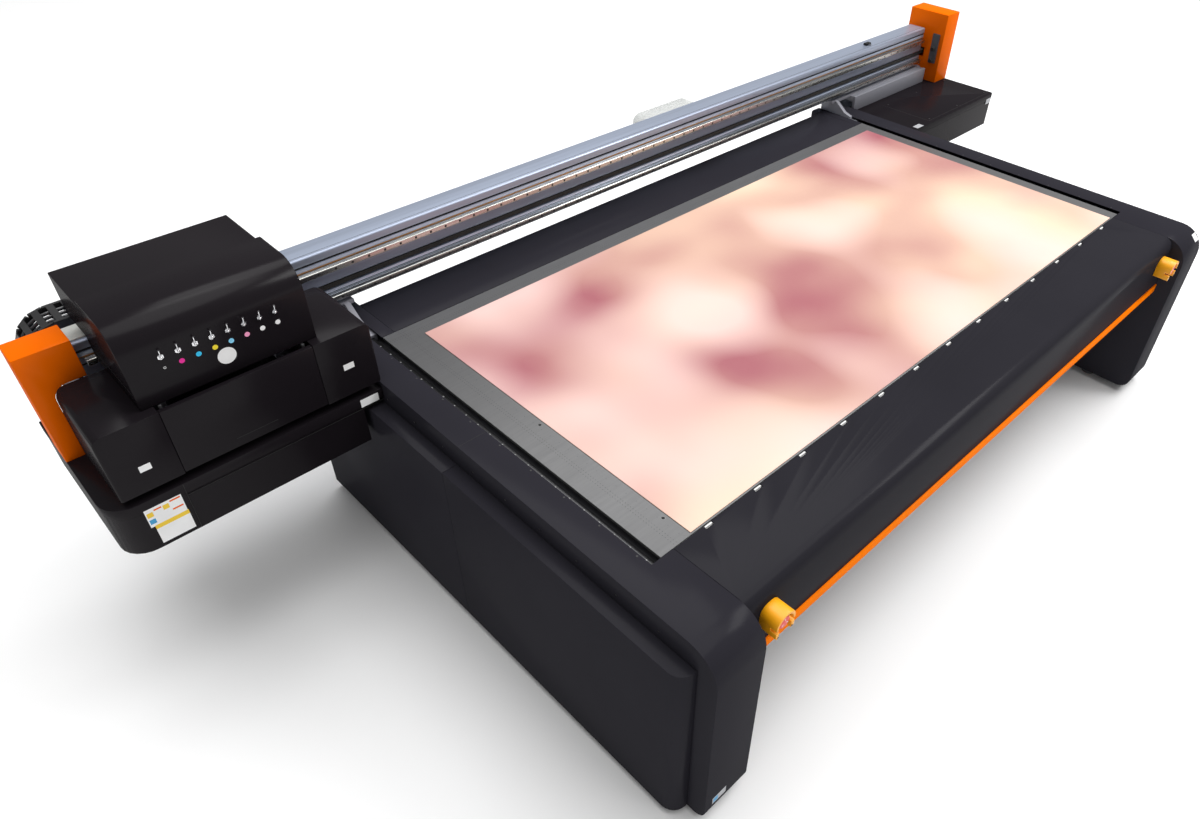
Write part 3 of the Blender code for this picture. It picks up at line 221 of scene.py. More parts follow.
def bed_material():
    """Anodised plate with rows of fine suction holes and a darker graduated line along two margins."""
    g = Graph("bed_metal")
    where = g.add("ShaderNodeTexCoord").outputs["Object"]
    parts = g.add("ShaderNodeSeparateXYZ")
    g.link(where, parts.inputs[0])
    x, y = parts.outputs["X"], parts.outputs["Y"]

    def cell(value, pitch, shift=0.0):
        scaled = g.math("DIVIDE", g.math("ADD", value, shift + 100 * pitch), pitch)
        return g.math("MULTIPLY", g.math("SUBTRACT", g.math("FRACT", scaled), 0.5), pitch)

    def dots(pitch, radius, shift_x=0.0, shift_y=0.0):
        dx, dy = cell(x, pitch, shift_x), cell(y, pitch, shift_y)
        reach = g.math("SQRT", g.math("ADD", g.math("MULTIPLY", dx, dx), g.math("MULTIPLY", dy, dy)))
        return g.math("LESS_THAN", reach, radius)

    def band(value, a, b):
        return g.math("MULTIPLY", g.math("GREATER_THAN", value, a), g.math("LESS_THAN", value, b))

    field = g.math("MULTIPLY", band(x, *HOLE_FIELD_X), band(y, *HOLE_FIELD_Y))
    holes = g.math("MULTIPLY", dots(HOLE_PITCH, HOLE_R), field)
    back_line = g.math("MULTIPLY", dots(MARK_PITCH, MARK_R, shift_y=0.0065), band(y, *BACK_MARKS_Y))
    side_line = g.math("MULTIPLY", dots(MARK_PITCH, MARK_R, shift_x=0.0105), band(x, *SIDE_MARKS_X))
    marks = g.math("MAXIMUM", g.math("MAXIMUM", holes, back_line), side_line)
    drawn = g.noise(160.0, 4.0, (0.03, 1, 1))
    cloud = g.noise(2.2, 4.0)
    metal = g.mix(g.span(drawn, 0.0, 1.0), (0.120, 0.120, 0.122), (0.132, 0.132, 0.134))
    metal = g.mix(g.span(cloud, 0.0, 0.18), metal, (0.16, 0.16, 0.162))
    g.set("Base Color", g.mix(marks, metal, (0.045, 0.045, 0.045)))
    g.set("Metallic", 0.45)
    g.set("Roughness", g.span(g.noise(80.0, 3.0, (0.08, 1, 1)), 0.46, 0.52))
    g.bump(g.math("SUBTRACT", g.math("MULTIPLY", drawn, 0.05), marks), 0.20, 0.0005)
    return g.mat


def belt_material():
    """Black rubber with a tooth wave along the belt."""
    g = Graph("toothed_belt")
    wave = g.add("ShaderNodeTexWave", Scale=31.4, Distortion=0.0)
    g.link(g.place(), wave.inputs["Vector"])
    tint = g.span(g.noise(30.0), 0.0, 1.0)
    g.set("Base Color", g.mix(tint, (0.010, 0.010, 0.010), (0.022, 0.021, 0.020)))
    g.set("Roughness", 0.75)
    g.bump(wave.outputs["Fac"], 0.6, 0.001)
    return g.mat


def proof_material():
    """A soft wash of colour with no picture in it."""
    g = Graph("proof_print")
    blots = g.noise(0.9, 2.0, (1, 1.3, 1))
    blot = g.span(blots, 0.0, 1.0, 0.35, 0.62)
    warm = g.mix(blot, (0.34, 0.10, 0.12), (0.80, 0.58, 0.42))
    wash = g.noise(1.7, 1.0, (1.2, 1, 1))
    g.set("Base Color", g.mix(g.span(wash, 0.0, 0.75, 0.40, 0.65), warm, (0.84, 0.60, 0.55)))
    g.set("Roughness", g.span(g.noise(40.0), 0.36, 0.46))
    return g.mat


COVER = powder("cover_black", (0.0215, 0.0205, 0.0262), 0.42, specular=0.0, coat=0.09)
# Painted shade: a slightly darker copy of the cover black on the front cover, to darken its upright
# skirt.
SKIRT_SHADED = powder("skirt_black_painted_shade", (0.0200, 0.0192, 0.0240), 0.40, specular=0.0, coat=0.10)
CARRIAGE = powder("carriage_black", (0.0105, 0.0085, 0.0105), 0.34, specular=0.0, coat=0.20)
ORANGE = powder("orange_powder", (0.82, 0.135, 0.0008), 0.45, specular=0.0, coat=0.10)
# Painted light: the end covers' orange, given a lighter base on the trim to make up for the shade under
# its lip.
TRIM_LIGHTENED = powder("orange_trim_painted_light", (1.0, 0.20, 0.0015), 0.45, specular=0.0, coat=0.06)
STEEL_PAINT = powder("frame_paint", (0.085, 0.085, 0.095), 0.52)
BRACKET = powder("bracket_paint", (0.22, 0.22, 0.25), 0.45)
PLATE = powder("plate_paint", (0.48, 0.49, 0.46), 0.45)
BED = bed_material()
BED_EDGE = brushed("bed_screw_rim", (0.22, 0.22, 0.22), 0.35, (1, 1, 1), metallic=0.7)
BEAM = brushed("beam_anodised", (0.46, 0.52, 0.66), 0.36, (0.015, 1, 1), metallic=0.75)
BEAM_CAP = brushed("beam_cap", (0.38, 0.43, 0.54), 0.40, (0.015, 1, 1), metallic=0.6)
DARK_STRIP = brushed("strip_dark", (0.05, 0.05, 0.055), 0.45, (0.02, 1, 1), metallic=0.4)
ENCODER = brushed("encoder_strip", (0.62, 0.30, 0.10), 0.35, (0.02, 1, 1), metallic=0.7)
RAIL = brushed("rail_ground", (0.56, 0.56, 0.53), 0.24, (0.02, 1, 1))
RAIL_Y = brushed("rail_ground_y", (0.050, 0.050, 0.052), 0.30, (1, 0.02, 1), metallic=0.8)
CHROME = brushed("lever_chrome", (0.86, 0.86, 0.88), 0.12, (1, 1, 1), streak=0.03, grain=0.03)
MACHINED = brushed("machined", (0.50, 0.50, 0.52), 0.34, (1, 0.2, 1))
BOLT = brushed("bolt_black", (0.05, 0.05, 0.05), 0.38, (1, 1, 1), metallic=0.8)
MOTOR = powder("motor_black", (0.014, 0.014, 0.015), 0.50, specular=0.2)
BELT = belt_material()
RUBBER = plastic("rubber_black", (0.014, 0.014, 0.014), 0.72)
CHAIN = plastic("chain_black", (0.010, 0.010, 0.011), 0.45)
HOSE = plastic("hose_grey", (0.035, 0.036, 0.040), 0.35)
YELLOW = plastic("guard_yellow", (0.95, 0.40, 0.003), 0.42)
RED = plastic("stop_red", (0.78, 0.030, 0.012), 0.34)
WHITE = plastic("pin_white", (0.74, 0.74, 0.73), 0.45)
LABEL = plastic("label_white", (0.90, 0.90, 0.90), 0.40, grain=0.02)
LABEL_GREY = plastic("label_grey", (0.38, 0.39, 0.41), 0.40, grain=0.02)
LABEL_YELLOW = plastic("label_yellow", (0.90, 0.60, 0.02), 0.42, grain=0.02)
LABEL_BLUE = plastic("label_blue", (0.03, 0.32, 0.60), 0.42, grain=0.02)
SEAM = plastic("seam_shadow", (0.0018, 0.0018, 0.0018), 0.70)
MILKY = plastic("milky_cover", (0.52, 0.54, 0.52), 0.25, alpha=0.50)


# ---- pieces --------------------------------------------------------------------------------------------
def mesh_object(name, bm, mat):
    """An object from a bmesh, shaded smooth, with its sharper edges kept."""
    mesh = bpy.data.meshes.new(name)
    bm.to_mesh(mesh)
    bm.free()
    obj = bpy.data.objects.new(name, mesh)
    bpy.context.scene.collection.objects.link(obj)
    mesh.materials.append(mat)
    mesh.shade_smooth()
    mesh.set_sharp_from_angle(angle=SMOOTH_ANGLE)
    return obj


def add_block(bm, a, b, edge=0.0):
    """One block from corner to corner, with its edges eased."""
    made = bmesh.ops.create_cube(bm, size=1.0)["verts"]
    for vert in made:
        for axis in range(3):
            vert.co[axis] = (a[axis] + b[axis]) / 2 + vert.co[axis] * (b[axis] - a[axis])
    if edge:
        edges = list({e for v in made for e in v.link_edges})
        bmesh.ops.bevel(bm, geom=edges, offset=edge, segments=2, affect="EDGES")


TURN = {
    "+X": Matrix.Rotation(math.radians(90), 4, "Y"), "-X": Matrix.Rotation(math.radians(-90), 4, "Y"),
    "+Y": Matrix.Rotation(math.radians(-90), 4, "X"), "-Y": Matrix.Rotation(math.radians(90), 4, "X"),
    "+Z": Matrix.Identity(4), "-Z": Matrix.Rotation(math.radians(180), 4, "X"),
}


def add_disc(bm, centre, face, radius, height, sides=16, top=0.85):
    """A low round head that stands on a face."""
    place = Matrix.Translation(Vector(centre)) @ TURN[face] @ Matrix.Translation((0, 0, height / 2))
    bmesh.ops.create_cone(bm, cap_ends=True, segments=sides, radius1=radius, radius2=radius * top,
                          depth=height, matrix=place)


def finish_piece(obj, body):
    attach(obj, body)


def blocks(name, spans, body, mat, edge=0.0006):
    """One piece of blocks, each from corner to corner."""
    bm = bmesh.new()
    for a, b in spans:
        add_block(bm, a, b, edge)
    finish_piece(mesh_object(name, bm, mat), body)


def discs(name, centres, face, radius, height, body, mat, sides=16, top=0.85):
    """One piece of round heads that stand on faces turned the same way."""
    bm = bmesh.new()
    for centre in centres:
        add_disc(bm, centre, face, radius, height, sides, top)
    finish_piece(mesh_object(name, bm, mat), body)


def dress(node, mat, edge):
    """Gives a CAD node its looks: eased edges, shading that follows them, and a material."""
    obj = NODES[node]
    obj.data.materials.clear()
    obj.data.materials.append(mat)
    for extra in ("custom_normal", "sharp_face", "sharp_edge"):
        found = obj.data.attributes.get(extra)
        if found:
            obj.data.attributes.remove(found)
    weld = obj.modifiers.new("weld", "WELD")
    weld.merge_threshold = 0.00003
    flat = obj.modifiers.new("flat_faces", "DECIMATE")
    flat.decimate_type = "DISSOLVE"
    flat.angle_limit = math.radians(0.4)
    if edge:
        bevel = obj.modifiers.new("edges", "BEVEL")
        bevel.width = edge
        bevel.segments = 2
        bevel.limit_method = "ANGLE"
        bevel.angle_limit = math.radians(40)
        bevel.use_clamp_overlap = False
    split = obj.modifiers.new("crisp", "EDGE_SPLIT")
    split.split_angle = math.radians(38)


DRESS = {
    "side_cover_left": (COVER, 0.0012), "side_cover_right": (COVER, 0.0012),
    "cabinet_front_left": (COVER, 0.0012), "cabinet_rear_left": (COVER, 0.0012),
    "cabinet_right": (COVER, 0.0012),
    "front_cover": (SKIRT_SHADED, 0.0010), "rear_cover": (COVER, 0.0010), "orange_trim": (TRIM_LIGHTENED, 0.0015),
    "table_frame": (STEEL_PAINT, 0.0020), "bed_plate": (BED, 0.0008), "vacuum_plenum": (MACHINED, 0.0),
    "vacuum_blower": (MOTOR, 0.0020), "pin_bar": (WHITE, 0.0006),
    "y_rail_left": (RAIL_Y, 0.0006), "y_rail_right": (RAIL_Y, 0.0006),
    "y_screw_left": (MACHINED, 0.0), "y_screw_right": (MACHINED, 0.0),
    "y_motor_left": (MOTOR, 0.0020), "y_motor_right": (MOTOR, 0.0020),
    "estop_housing_left": (YELLOW, 0.0010), "estop_housing_right": (YELLOW, 0.0010),
    "estop_stem_left": (MACHINED, 0.0), "estop_stem_right": (MACHINED, 0.0),
    "estop_head_left": (RED, 0.0015), "estop_head_right": (RED, 0.0015),
    "beam": (BEAM, 0.0010), "beam_top_cover": (BEAM_CAP, 0.0010),
    "x_rail_lower": (RAIL, 0.0004), "x_rail_upper": (RAIL, 0.0004),
    "bracket_left": (BRACKET, 0.0010), "bracket_right": (BRACKET, 0.0010),
    "tray_left": (CARRIAGE, 0.0015), "wing_right": (CARRIAGE, 0.0020), "cap_tray": (RUBBER, 0.0010),
    "end_cover_left": (ORANGE, 0.0020), "end_cover_right": (ORANGE, 0.0020),
    "x_belt": (BELT, 0.0), "drive_pulley": (MACHINED, 0.0008), "idler_pulley": (MACHINED, 0.0008),
    "x_motor": (MOTOR, 0.0015), "ink_rack": (MILKY, 0.0020),
    "carriage_plate": (STEEL_PAINT, 0.0010), "head_frame": (MACHINED, 0.0008),
    "print_heads": (MOTOR, 0.0015),
    "hood": (CARRIAGE, 0.0020), "front_door": (CARRIAGE, 0.0015),
    "lamp_cover_left": (CARRIAGE, 0.0015), "lamp_cover_right": (CARRIAGE, 0.0015),
    "uv_lamp_left": (MOTOR, 0.0015), "uv_lamp_right": (MOTOR, 0.0015),
}
DRESS.update({f"lever_{i + 1}": (CHROME, 0.0) for i in range(8)})


# ---- table details -------------------------------------------------------------------------------------
def bolt_row(start, end):
    """Where the bolts of a rail sit along it."""
    spots = []
    spot = start + BOLT_FROM_START
    while spot < end - BOLT_FROM_END:
        spots.append(spot)
        spot += BOLT_PITCH
    return spots


def table_details():
    bed_x, cover_x = high("bed_plate").x, high("side_cover_right").x
    seams = []
    for side in (-1, 1):
        a, b = sorted((side * (bed_x + DECK_SEAM_FROM_BED), side * (cover_x - DECK_SEAM_FROM_SIDE)))
        seams.append(((a, DECK_SEAM_Y[0], BED_TOP - 0.0010), (b, DECK_SEAM_Y[1], BED_TOP + 0.0001)))
    blocks("deck_seams", seams, "table", SEAM, 0)
    screws = [(side * (bed_x + DECK_SCREW_FROM_BED), DECK_SCREW_Y + i * DECK_SCREW_STEP, BED_TOP)
              for side in (-1, 1) for i in range(DECK_SCREWS)]
    discs("deck_screws", screws, "+Z", 0.0030, 0.0004, "table", BOLT, 12)
    holes = [(side * BED_SCREW_X, y, BED_TOP) for side in (-1, 1) for y in BED_SCREW_Y]
    discs("bed_screws", holes, "+Z", 0.0062, 0.0001, "table", BED_EDGE, 20, 1.0)
    sockets = [(x, y, z + 0.0001) for x, y, z in holes]
    discs("bed_screw_sockets", sockets, "+Z", 0.0050, 0.0001, "table", SEAM, 16, 1.0)
    rail_a, rail_b = low("y_rail_left"), high("y_rail_left")
    rail_x = abs((rail_a.x + rail_b.x) / 2)
    bolts = [(side * rail_x, y, rail_b.z) for side in (-1, 1) for y in bolt_row(rail_a.y, rail_b.y)]
    discs("y_rail_bolts", bolts, "+Z", 0.0034, 0.0003, "table", BED_EDGE, 16)
    for side, face, word in ((-1, "-X", "Xl"), (1, "+X", "Xr")):
        screws = [(side * cover_x, SIDE_SCREW_Y + i * SIDE_SCREW_STEP, SIDE_SCREW_Z)
                  for i in range(SIDE_SCREWS)]
        discs("side_screws_" + word, screws, face, 0.0032, 0.0006, "table", BOLT, 12)
    foot_y = (low("table_frame").y + FOOT_FROM_FRONT, high("table_frame").y - FOOT_FROM_REAR)
    feet = [(x, y, 0.0005) for x in (-FOOT_X, FOOT_X) for y in foot_y]
    discs("foot_pads", feet, "+Z", 0.0298, 0.006, "table", RUBBER, 32, 0.97)


def estops():
    """Three pale arrows on each red head, and the screws of its guard."""
    for word in ("left", "right"):
        a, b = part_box("estop_head_" + word)
        centre = ((a.x + b.x) / 2, a.y, (a.z + b.z) / 2)
        bm = bmesh.new()
        for angle in (0, 120, 240):
            turn = Matrix.Translation(Vector(centre)) @ Matrix.Rotation(math.radians(angle), 4, "Y")
            for vert in bmesh.ops.create_cube(bm, size=1.0)["verts"]:
                x, y, z = vert.co
                vert.co = turn @ Vector((x * 0.0018, -0.0002 + y * 0.0006, 0.0105 + z * 0.008))
        finish_piece(mesh_object("estop_arrows_" + word, bm, LABEL), "estop_head_" + word)
        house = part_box("estop_housing_" + word)
        screws = [(centre[0] + dx, house[0].y, house[0].z + 0.006) for dx in (-0.027, 0.027)]
        discs("estop_screws_" + word, screws, "-Y", 0.0030, 0.0008, "table", BOLT, 12)


def table_labels():
    y0 = low("side_cover_left").y
    left_x, right_x = low("side_cover_left").x, high("side_cover_right").x
    blocks("label_foot", [((left_x + 0.030, y0 - 0.0001, 0.085), (left_x + 0.085, y0 + 0.001, 0.115))],
           "table", LABEL_GREY, 0)
    blocks("label_foot_blue",
           [((left_x + 0.034, y0 - 0.00015, 0.089), (left_x + 0.052, y0 + 0.001, 0.111))],
           "table", LABEL_BLUE, 0)
    corner = (right_x - 0.026, y0 + 0.0293, BED_TOP - 0.0293)
    tilt = Matrix.Translation(corner) @ Matrix.Rotation(math.radians(45), 4, "X")
    bm = bmesh.new()
    for vert in bmesh.ops.create_cube(bm, size=1.0)["verts"]:
        vert.co = tilt @ Vector((vert.co.x * 0.034, vert.co.y * 0.034, vert.co.z * 0.0012))
    finish_piece(mesh_object("label_corner", bm, LABEL), "table")


# ---- gantry details ------------------------------------------------------------------------------------
def beam_details():
    strip = (low("beam").x + 0.002, high("beam").x - 0.002)
    top = high("beam_top_cover").z

    def band(name, z0, z1, proud, mat, slot="beam_aluminium"):
        """A strip along the beam's front."""
        spans = [((strip[0], BEAM_Y - proud, z0), (strip[1], BEAM_Y + 0.0005, z1))]
        blocks(name, spans, "gantry", mat, 0.0003)

    def on_cap(x, y, up):
        """One block on the beam's cap: x as it is, y back from the beam's front, up from the cap."""
        return [((x[0], BEAM_Y + y[0], top - 0.0005), (x[1], BEAM_Y + y[1], top + up))]

    band("beam_groove", 0.9815, 0.9885, 0.0002, SEAM)
    band("beam_ledge", 0.9690, 0.9815, 0.0030, BEAM_CAP)
    band("encoder_strip", 0.9665, 0.9688, 0.0042, ENCODER, "rail_steel")
    band("beam_dark_line", 0.9400, 0.9445, 0.0004, DARK_STRIP)
    band("beam_lower_line", 0.8600, 0.8625, 0.0006, DARK_STRIP)
    for name in ("x_rail_upper", "x_rail_lower"):
        a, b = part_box(name)
        centres = [(x, a.y, (a.z + b.z) / 2) for x in bolt_row(a.x, b.x)]
        discs(name + "_bolts", centres, "-Y", 0.0046, 0.0003, "gantry", BOLT, 16)
    blocks("beam_cap_line", on_cap(strip, (0.012, 0.0135), 0.0002),
           "gantry", DARK_STRIP, 0)
    blocks("beam_sensor", on_cap((1.645, 1.685), (0.030, 0.052), 0.010),
           "gantry", MOTOR, 0.002)
    blocks("sensor_clip", on_cap((1.660, 1.670), (0.018, 0.032), 0.006),
           "gantry", MACHINED, 0.001)
    left = low("beam_top_cover").x
    blocks("beam_end_plate", on_cap((left + 0.004, left + 0.075), (0.010, 0.088), 0.0035),
           "gantry", PLATE, 0.0008)
    end = low("end_cover_right")
    blocks("end_plate_right",
           [((end.x - 0.010, end.y + 0.022, 0.843), (end.x - 0.0002, end.y + 0.062, 0.994))],
           "gantry", STEEL_PAINT, 0.001)
    stops = [(end.x - 0.010, end.y + 0.042, z) for z in (0.918, 0.856)]
    discs("rubber_stops", stops, "-X", 0.011, 0.016, "gantry", RUBBER, 20, 0.92)


def gantry_labels():
    """Seams, screws and plain cards on the wing's top and the tray's front."""
    a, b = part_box("wing_right")
    blocks("wing_seam",
           [((1.672, a.y + 0.020, b.z - 0.0008), (1.6735, a.y + 0.300, b.z + 0.0001)),
            ((1.672, a.y + 0.0200, b.z - 0.0008), (b.x - 0.020, a.y + 0.0215, b.z + 0.0001))],
           "gantry", SEAM, 0)
    screws = [(x, a.y + y, b.z) for y in WING_SCREW_Y for x in WING_SCREW_X]
    discs("wing_screws", screws, "+Z", 0.004, 0.0008, "gantry", BOLT, 12)
    blocks("wing_labels",
           [((1.545, a.y + 0.004, b.z - 0.001), (1.600, a.y + 0.034, b.z + 0.0002)),
            ((b.x - 0.060, a.y - 0.0002, b.z - 0.050), (b.x - 0.012, a.y + 0.001, b.z - 0.022))],
           "gantry", LABEL_GREY, 0)

    def card(x0, x1, z0, z1, proud=0.0006):
        """A thin card on the tray's front."""
        return (x0, TRAY_Y - proud, z0), (x1, TRAY_Y + 0.001, z1)

    blocks("tray_seams", [card(-2.094, -2.0925, TRAY_TOP - 0.170, TRAY_TOP - 0.002, 0.0002),
                          card(-2.094, -1.4850, 0.6990, 0.7005, 0.0002)],
           "gantry", SEAM, 0)
    blocks("tray_label_cards", [card(-2.206, -2.108, 0.652, 0.715, 0.0004),
                                card(-2.196, -2.106, 0.585, 0.640, 0.0005)],
           "gantry", LABEL, 0)
    blocks("tray_label_yellow", [card(-2.196, -2.106, 0.640, 0.654),
                                 card(-2.203, -2.187, 0.686, 0.702),
                                 card(-2.160, -2.144, 0.690, 0.706)],
           "gantry", LABEL_YELLOW, 0)
    blocks("tray_label_orange", [card(-2.183, -2.163, 0.702, 0.707),
                                 card(-2.140, -2.112, 0.706, 0.711),
                                 card(-2.140, -2.112, 0.676, 0.681)],
           "gantry", ORANGE, 0)
    blocks("tray_label_blue", [card(-2.203, -2.187, 0.662, 0.678)],
           "gantry", LABEL_BLUE, 0)
    blocks("tray_label_right", [card(-1.560, -1.500, 0.706, 0.734, 0.0004)],
           "gantry", LABEL, 0)


# ---- energy chain --------------------------------------------------------------------------------------
def chain_link(bm, place, pitch, width, thick):
    """One link: two side plates with rounded ends and a bar across the top and the bottom."""
    def block(a, b, edge):
        made = bmesh.ops.create_cube(bm, size=1.0)["verts"]
        for vert in made:
            vert.co = Vector([(a[i] + b[i]) / 2 + vert.co[i] * (b[i] - a[i]) for i in range(3)])
        edges = list({e for v in made for e in v.link_edges})
        result = bmesh.ops.bevel(bm, geom=edges, offset=edge, segments=1, affect="EDGES")
        moved = set(made) | set(result["verts"])
        for vert in moved:
            if vert.is_valid:
                vert.co = place @ vert.co
    half, side, rise = pitch / 2, 0.009, thick / 2
    for y0, y1 in ((0, side), (width - side, width)):
        block((-half * 1.10, y0, -rise), (half * 1.06, y1, rise), 0.002)
    for z0, z1 in ((rise - 0.004, rise + 0.0004), (-rise - 0.0004, -rise + 0.004)):
        block((-half * 0.62, side - 0.001, z0), (half * 0.42, width - side + 0.001, z1), 0.001)


def tube(bm, spots, radius, sides=8):
    """A hose through spots in one upright plane; each spot comes with the angle of its outward side."""
    rings = []
    for spot, angle in spots:
        out = Vector((math.cos(angle), 0, math.sin(angle)))
        across = Vector((0, 1, 0))
        ring = []
        for i in range(sides):
            turn = 2 * math.pi * i / sides
            side = out * math.cos(turn) + across * math.sin(turn)
            ring.append(bm.verts.new(spot + side * radius))
        rings.append(ring)
    for a, b in zip(rings, rings[1:]):
        for i in range(sides):
            bm.faces.new((a[i], a[(i + 1) % sides], b[(i + 1) % sides], b[i]))
    bm.faces.new(rings[0][::-1])
    bm.faces.new(rings[-1])


def energy_chain():
    """Links and hoses. The bend rides its own body; each straight run is built once where it stands and
    rides no body, which is not how a real chain rolls."""
    a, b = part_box("chain_bend")
    lower_a, lower_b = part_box("chain_lower")
    thick = lower_b.z - lower_a.z
    width = b.y - a.y
    outer = (b.z - a.z) / 2
    middle_r = outer - thick / 2
    centre = Vector((a.x + outer, a.y, a.z + outer))
    link_r = middle_r - 0.002
    bm = bmesh.new()
    for i in range(BEND_LINKS):
        angle = math.radians(90 + 180 * (i + 0.5) / BEND_LINKS)
        spot = centre + Vector((math.cos(angle) * link_r, 0, math.sin(angle) * link_r))
        place = Matrix.Translation(spot) @ Matrix.Rotation(-(angle - math.radians(90)), 4, "Y")
        chain_link(bm, place, math.pi * middle_r / BEND_LINKS * 0.96, width, thick - 0.001)
    bend = mesh_object("chain_bend_links", bm, CHAIN)
    finish_piece(bend, "chain_bend")
    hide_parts("chain_bend")
    hoses = [(HOSE_Y + i * HOSE_STEP, HOSE_R, -HOSE_LIFT + 2 * HOSE_LIFT * (i % 2)) for i in range(HOSES)]
    bm = bmesh.new()
    for y, radius, lift in hoses:
        spots = []
        for i in range(17):
            angle = math.radians(90 + 180 * i / 16)
            reach = middle_r + lift
            spots.append((centre + Vector((math.cos(angle) * reach, y, math.sin(angle) * reach)), angle))
        tube(bm, spots, radius)
    finish_piece(mesh_object("chain_bend_hoses", bm, HOSE), "chain_bend")

    def run(name, x0, x1, z):
        links = max(2, round((x1 - x0) / LINK_PITCH))
        pitch = (x1 - x0) / links
        made = bmesh.new()
        for i in range(links):
            place = Matrix.Translation((x0 + (i + 0.5) * pitch, a.y, z))
            chain_link(made, place, pitch * 0.98, width, thick - 0.001)
        links_made = mesh_object(name, made, CHAIN)
        made = bmesh.new()
        for y, radius, lift in hoses:
            up = math.radians(90)
            level = z + (lift if z > centre.z else -lift)
            steps = [(Vector((x0 + (x1 - x0) * i / 12, a.y + y, level)), up) for i in range(13)]
            tube(made, steps, radius)
        return links_made, mesh_object(name.replace("links", "hoses"), made, HOSE)

    fixed, arm = lower_b.x, b.x
    for piece in run("chain_upper_links", centre.x, arm, b.z - thick / 2):
        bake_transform(piece)
    for piece in run("chain_lower_links", centre.x, fixed, a.z + thick / 2):
        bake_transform(piece)
        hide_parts("chain_lower")


# ---- carriage details ----------------------------------------------------------------------------------
def lever_details():
    """A nut at each lever and a plain dot under it; the first dot is a ring without a colour."""
    colours = [None, (0.85, 0.01, 0.32), (0.02, 0.55, 0.90), (0.95, 0.75, 0.02), (0.25, 0.68, 0.95),
               (0.92, 0.34, 0.55), (0.92, 0.92, 0.92), (0.92, 0.92, 0.92)]
    for i, colour in enumerate(colours):
        a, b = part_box(f"lever_{i + 1}")
        x = (a.x + b.x) / 2
        z = (a.z + b.z) / 2 - 0.010
        bm = bmesh.new()
        add_disc(bm, (x, HOOD_Y, z), "-Y", 0.0085, 0.0022, 6, 0.95)
        add_disc(bm, (x, HOOD_Y - 0.0018, z), "-Y", 0.0056, 0.0022, 20, 0.98)
        finish_piece(mesh_object(f"lever_nut_{i + 1}", bm, CHROME), "head_unit")
        spot = (x, HOOD_Y, z - DOT_BELOW_LEVER)
        if colour is None:
            discs("lever_dot_ring", [spot], "-Y", 0.0034, 0.0003, "head_unit",
                  LABEL, 20, 1)
            core = (x, HOOD_Y - 0.0003, z - DOT_BELOW_LEVER)
            discs("lever_dot_core", [core], "-Y", 0.0022, 0.0002, "head_unit",
                  SEAM, 20, 1)
        else:
            ink = plastic(f"dot_{i}", colour, 0.42, grain=0.02)
            discs(f"lever_dot_{i + 1}", [spot], "-Y", 0.0071, 0.0004, "head_unit",
                  ink, 24, 1)


def carriage_details():
    label = (HOOD_X - 0.001, HOOD_Y, 1.042)
    discs("hood_label_round", [label], "-Y", 0.0245, 0.0004, "head_unit", LABEL, 48, 1)
    a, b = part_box("hood")
    seams = [((x0, HOOD_Y + 0.010, 1.0305), (x1, b.y - 0.180, 1.0320))
             for x0, x1 in ((a.x - 0.0001, a.x + 0.001), (b.x - 0.001, b.x + 0.0001))]
    blocks("hood_seams", seams, "head_unit", SEAM, 0)
    screws = [(x, HOOD_Y + 0.228, b.z - 0.022) for x in (a.x + 0.030, HOOD_X, b.x - 0.030)]
    discs("hood_screws", screws, "+Z", 0.0035, 0.0006, "head_unit", BOLT, 12)
    left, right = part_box("lamp_cover_left"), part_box("lamp_cover_right")
    places = ((left[0].x + 0.070, left[0].x + 0.100, 0.835, 0.855),
              (right[1].x - 0.105, right[1].x - 0.072, 0.860, 0.880))
    cards = [((x0, DOOR_Y - 0.0003, z0), (x1, DOOR_Y + 0.001, z1)) for x0, x1, z0, z1 in places]
    blocks("lamp_labels", cards, "head_unit", LABEL, 0)
    grip_z = low("front_door").z + 0.028
    grip = ((HOOD_X - 0.060, DOOR_Y - 0.0001, grip_z), (HOOD_X + 0.060, DOOR_Y + 0.001, grip_z + 0.002))
    blocks("door_grip", [grip], "front_door", SEAM, 0)


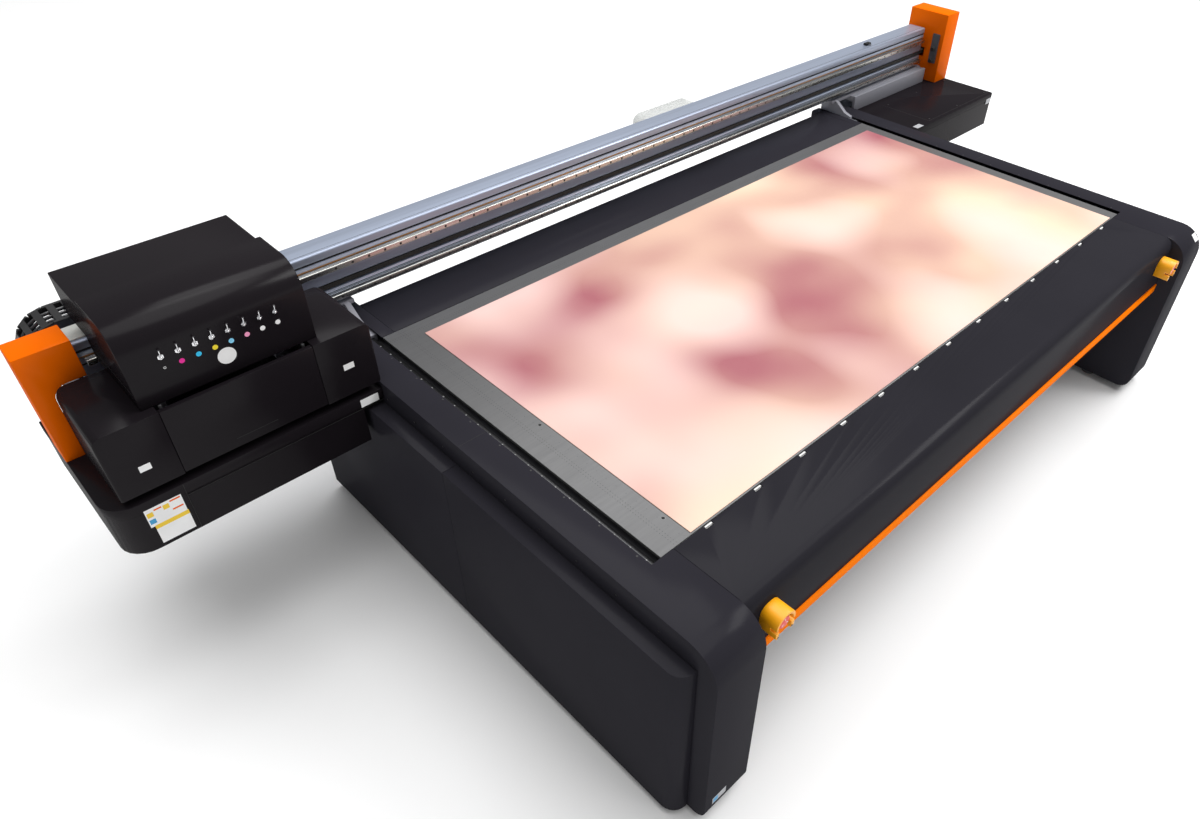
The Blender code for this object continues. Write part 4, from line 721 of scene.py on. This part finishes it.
# ---- stage ---------------------------------------------------------------------------------------------
def stage():
    """Floor, plain proof sheet and lights."""
    bm = bmesh.new()
    bmesh.ops.create_grid(bm, x_segments=2, y_segments=2, size=FLOOR_SIZE)
    g = Graph("pale_floor")
    cloud = g.span(g.noise(0.5), 0.0, 1.0)
    g.set("Base Color", g.mix(cloud, (0.90, 0.90, 0.90), (0.93, 0.93, 0.93)))
    g.set("Roughness", 0.9)
    floor = mesh_object("floor", bm, g.mat)
    floor.location.z = -FLOOR_DOWN
    bm = bmesh.new()
    sheet = [(x, y, BED_TOP + z) for x, y, z in (SHEET_LOW, SHEET_HIGH)]
    add_block(bm, *sheet, 0.0004)
    proof = mesh_object("proof_sheet", bm, proof_material())

    world = bpy.data.worlds.new("studio")
    bpy.context.scene.world = world
    world.use_nodes = True
    world.node_tree.nodes["Background"].inputs[0].default_value = (1.0, 1.0, 1.0, 1.0)
    world.node_tree.nodes["Background"].inputs[1].default_value = WORLD_LIGHT
    bpy.context.scene.view_settings.view_transform = "Standard"

    def lamp(name, place, aim, size, power):
        data = bpy.data.lights.new(name, "AREA")
        data.shape = "RECTANGLE"
        data.size, data.size_y = size
        data.energy = power
        obj = bpy.data.objects.new(name, data)
        obj.location = place
        obj.rotation_euler = (Vector(aim) - Vector(place)).to_track_quat("-Z", "Y").to_euler()
        bpy.context.scene.collection.objects.link(obj)

    lamp("sheen", (4.4, -2.6, 6.6), (0, -0.4, 0.8), (5.0, 2.2), 330)
    lamp("top", (1.0, 3.0, 8.0), (0, 0, 0.7), (6.0, 4.0), 300)
    sun = bpy.data.lights.new("overhead", "SUN")
    sun.energy = SUN_LIGHT
    sun.angle = math.radians(50)
    overhead = bpy.data.objects.new("overhead", sun)
    overhead.rotation_euler = (math.radians(8), math.radians(4), 0)
    bpy.context.scene.collection.objects.link(overhead)


def camera():
    data = bpy.data.cameras.new("photo_angle")
    data.sensor_width = SENSOR_W
    data.lens = LENS
    data.shift_x = SHIFT_X
    data.clip_end = CLIP_END
    obj = bpy.data.objects.new("photo_angle", data)
    turn = Matrix((CAMERA_RIGHT, CAMERA_UP, CAMERA_BACK)).transposed().to_4x4()
    obj.matrix_world = Matrix.Translation(CAMERA_AT) @ turn
    bpy.context.scene.collection.objects.link(obj)
    bpy.context.scene.camera = obj


for node, (look, edge) in DRESS.items():
    dress(node, look, edge)
table_details()
estops()
table_labels()
beam_details()
gantry_labels()
energy_chain()
lever_details()
carriage_details()
stage()
camera()

bpy.context.view_layer.update()
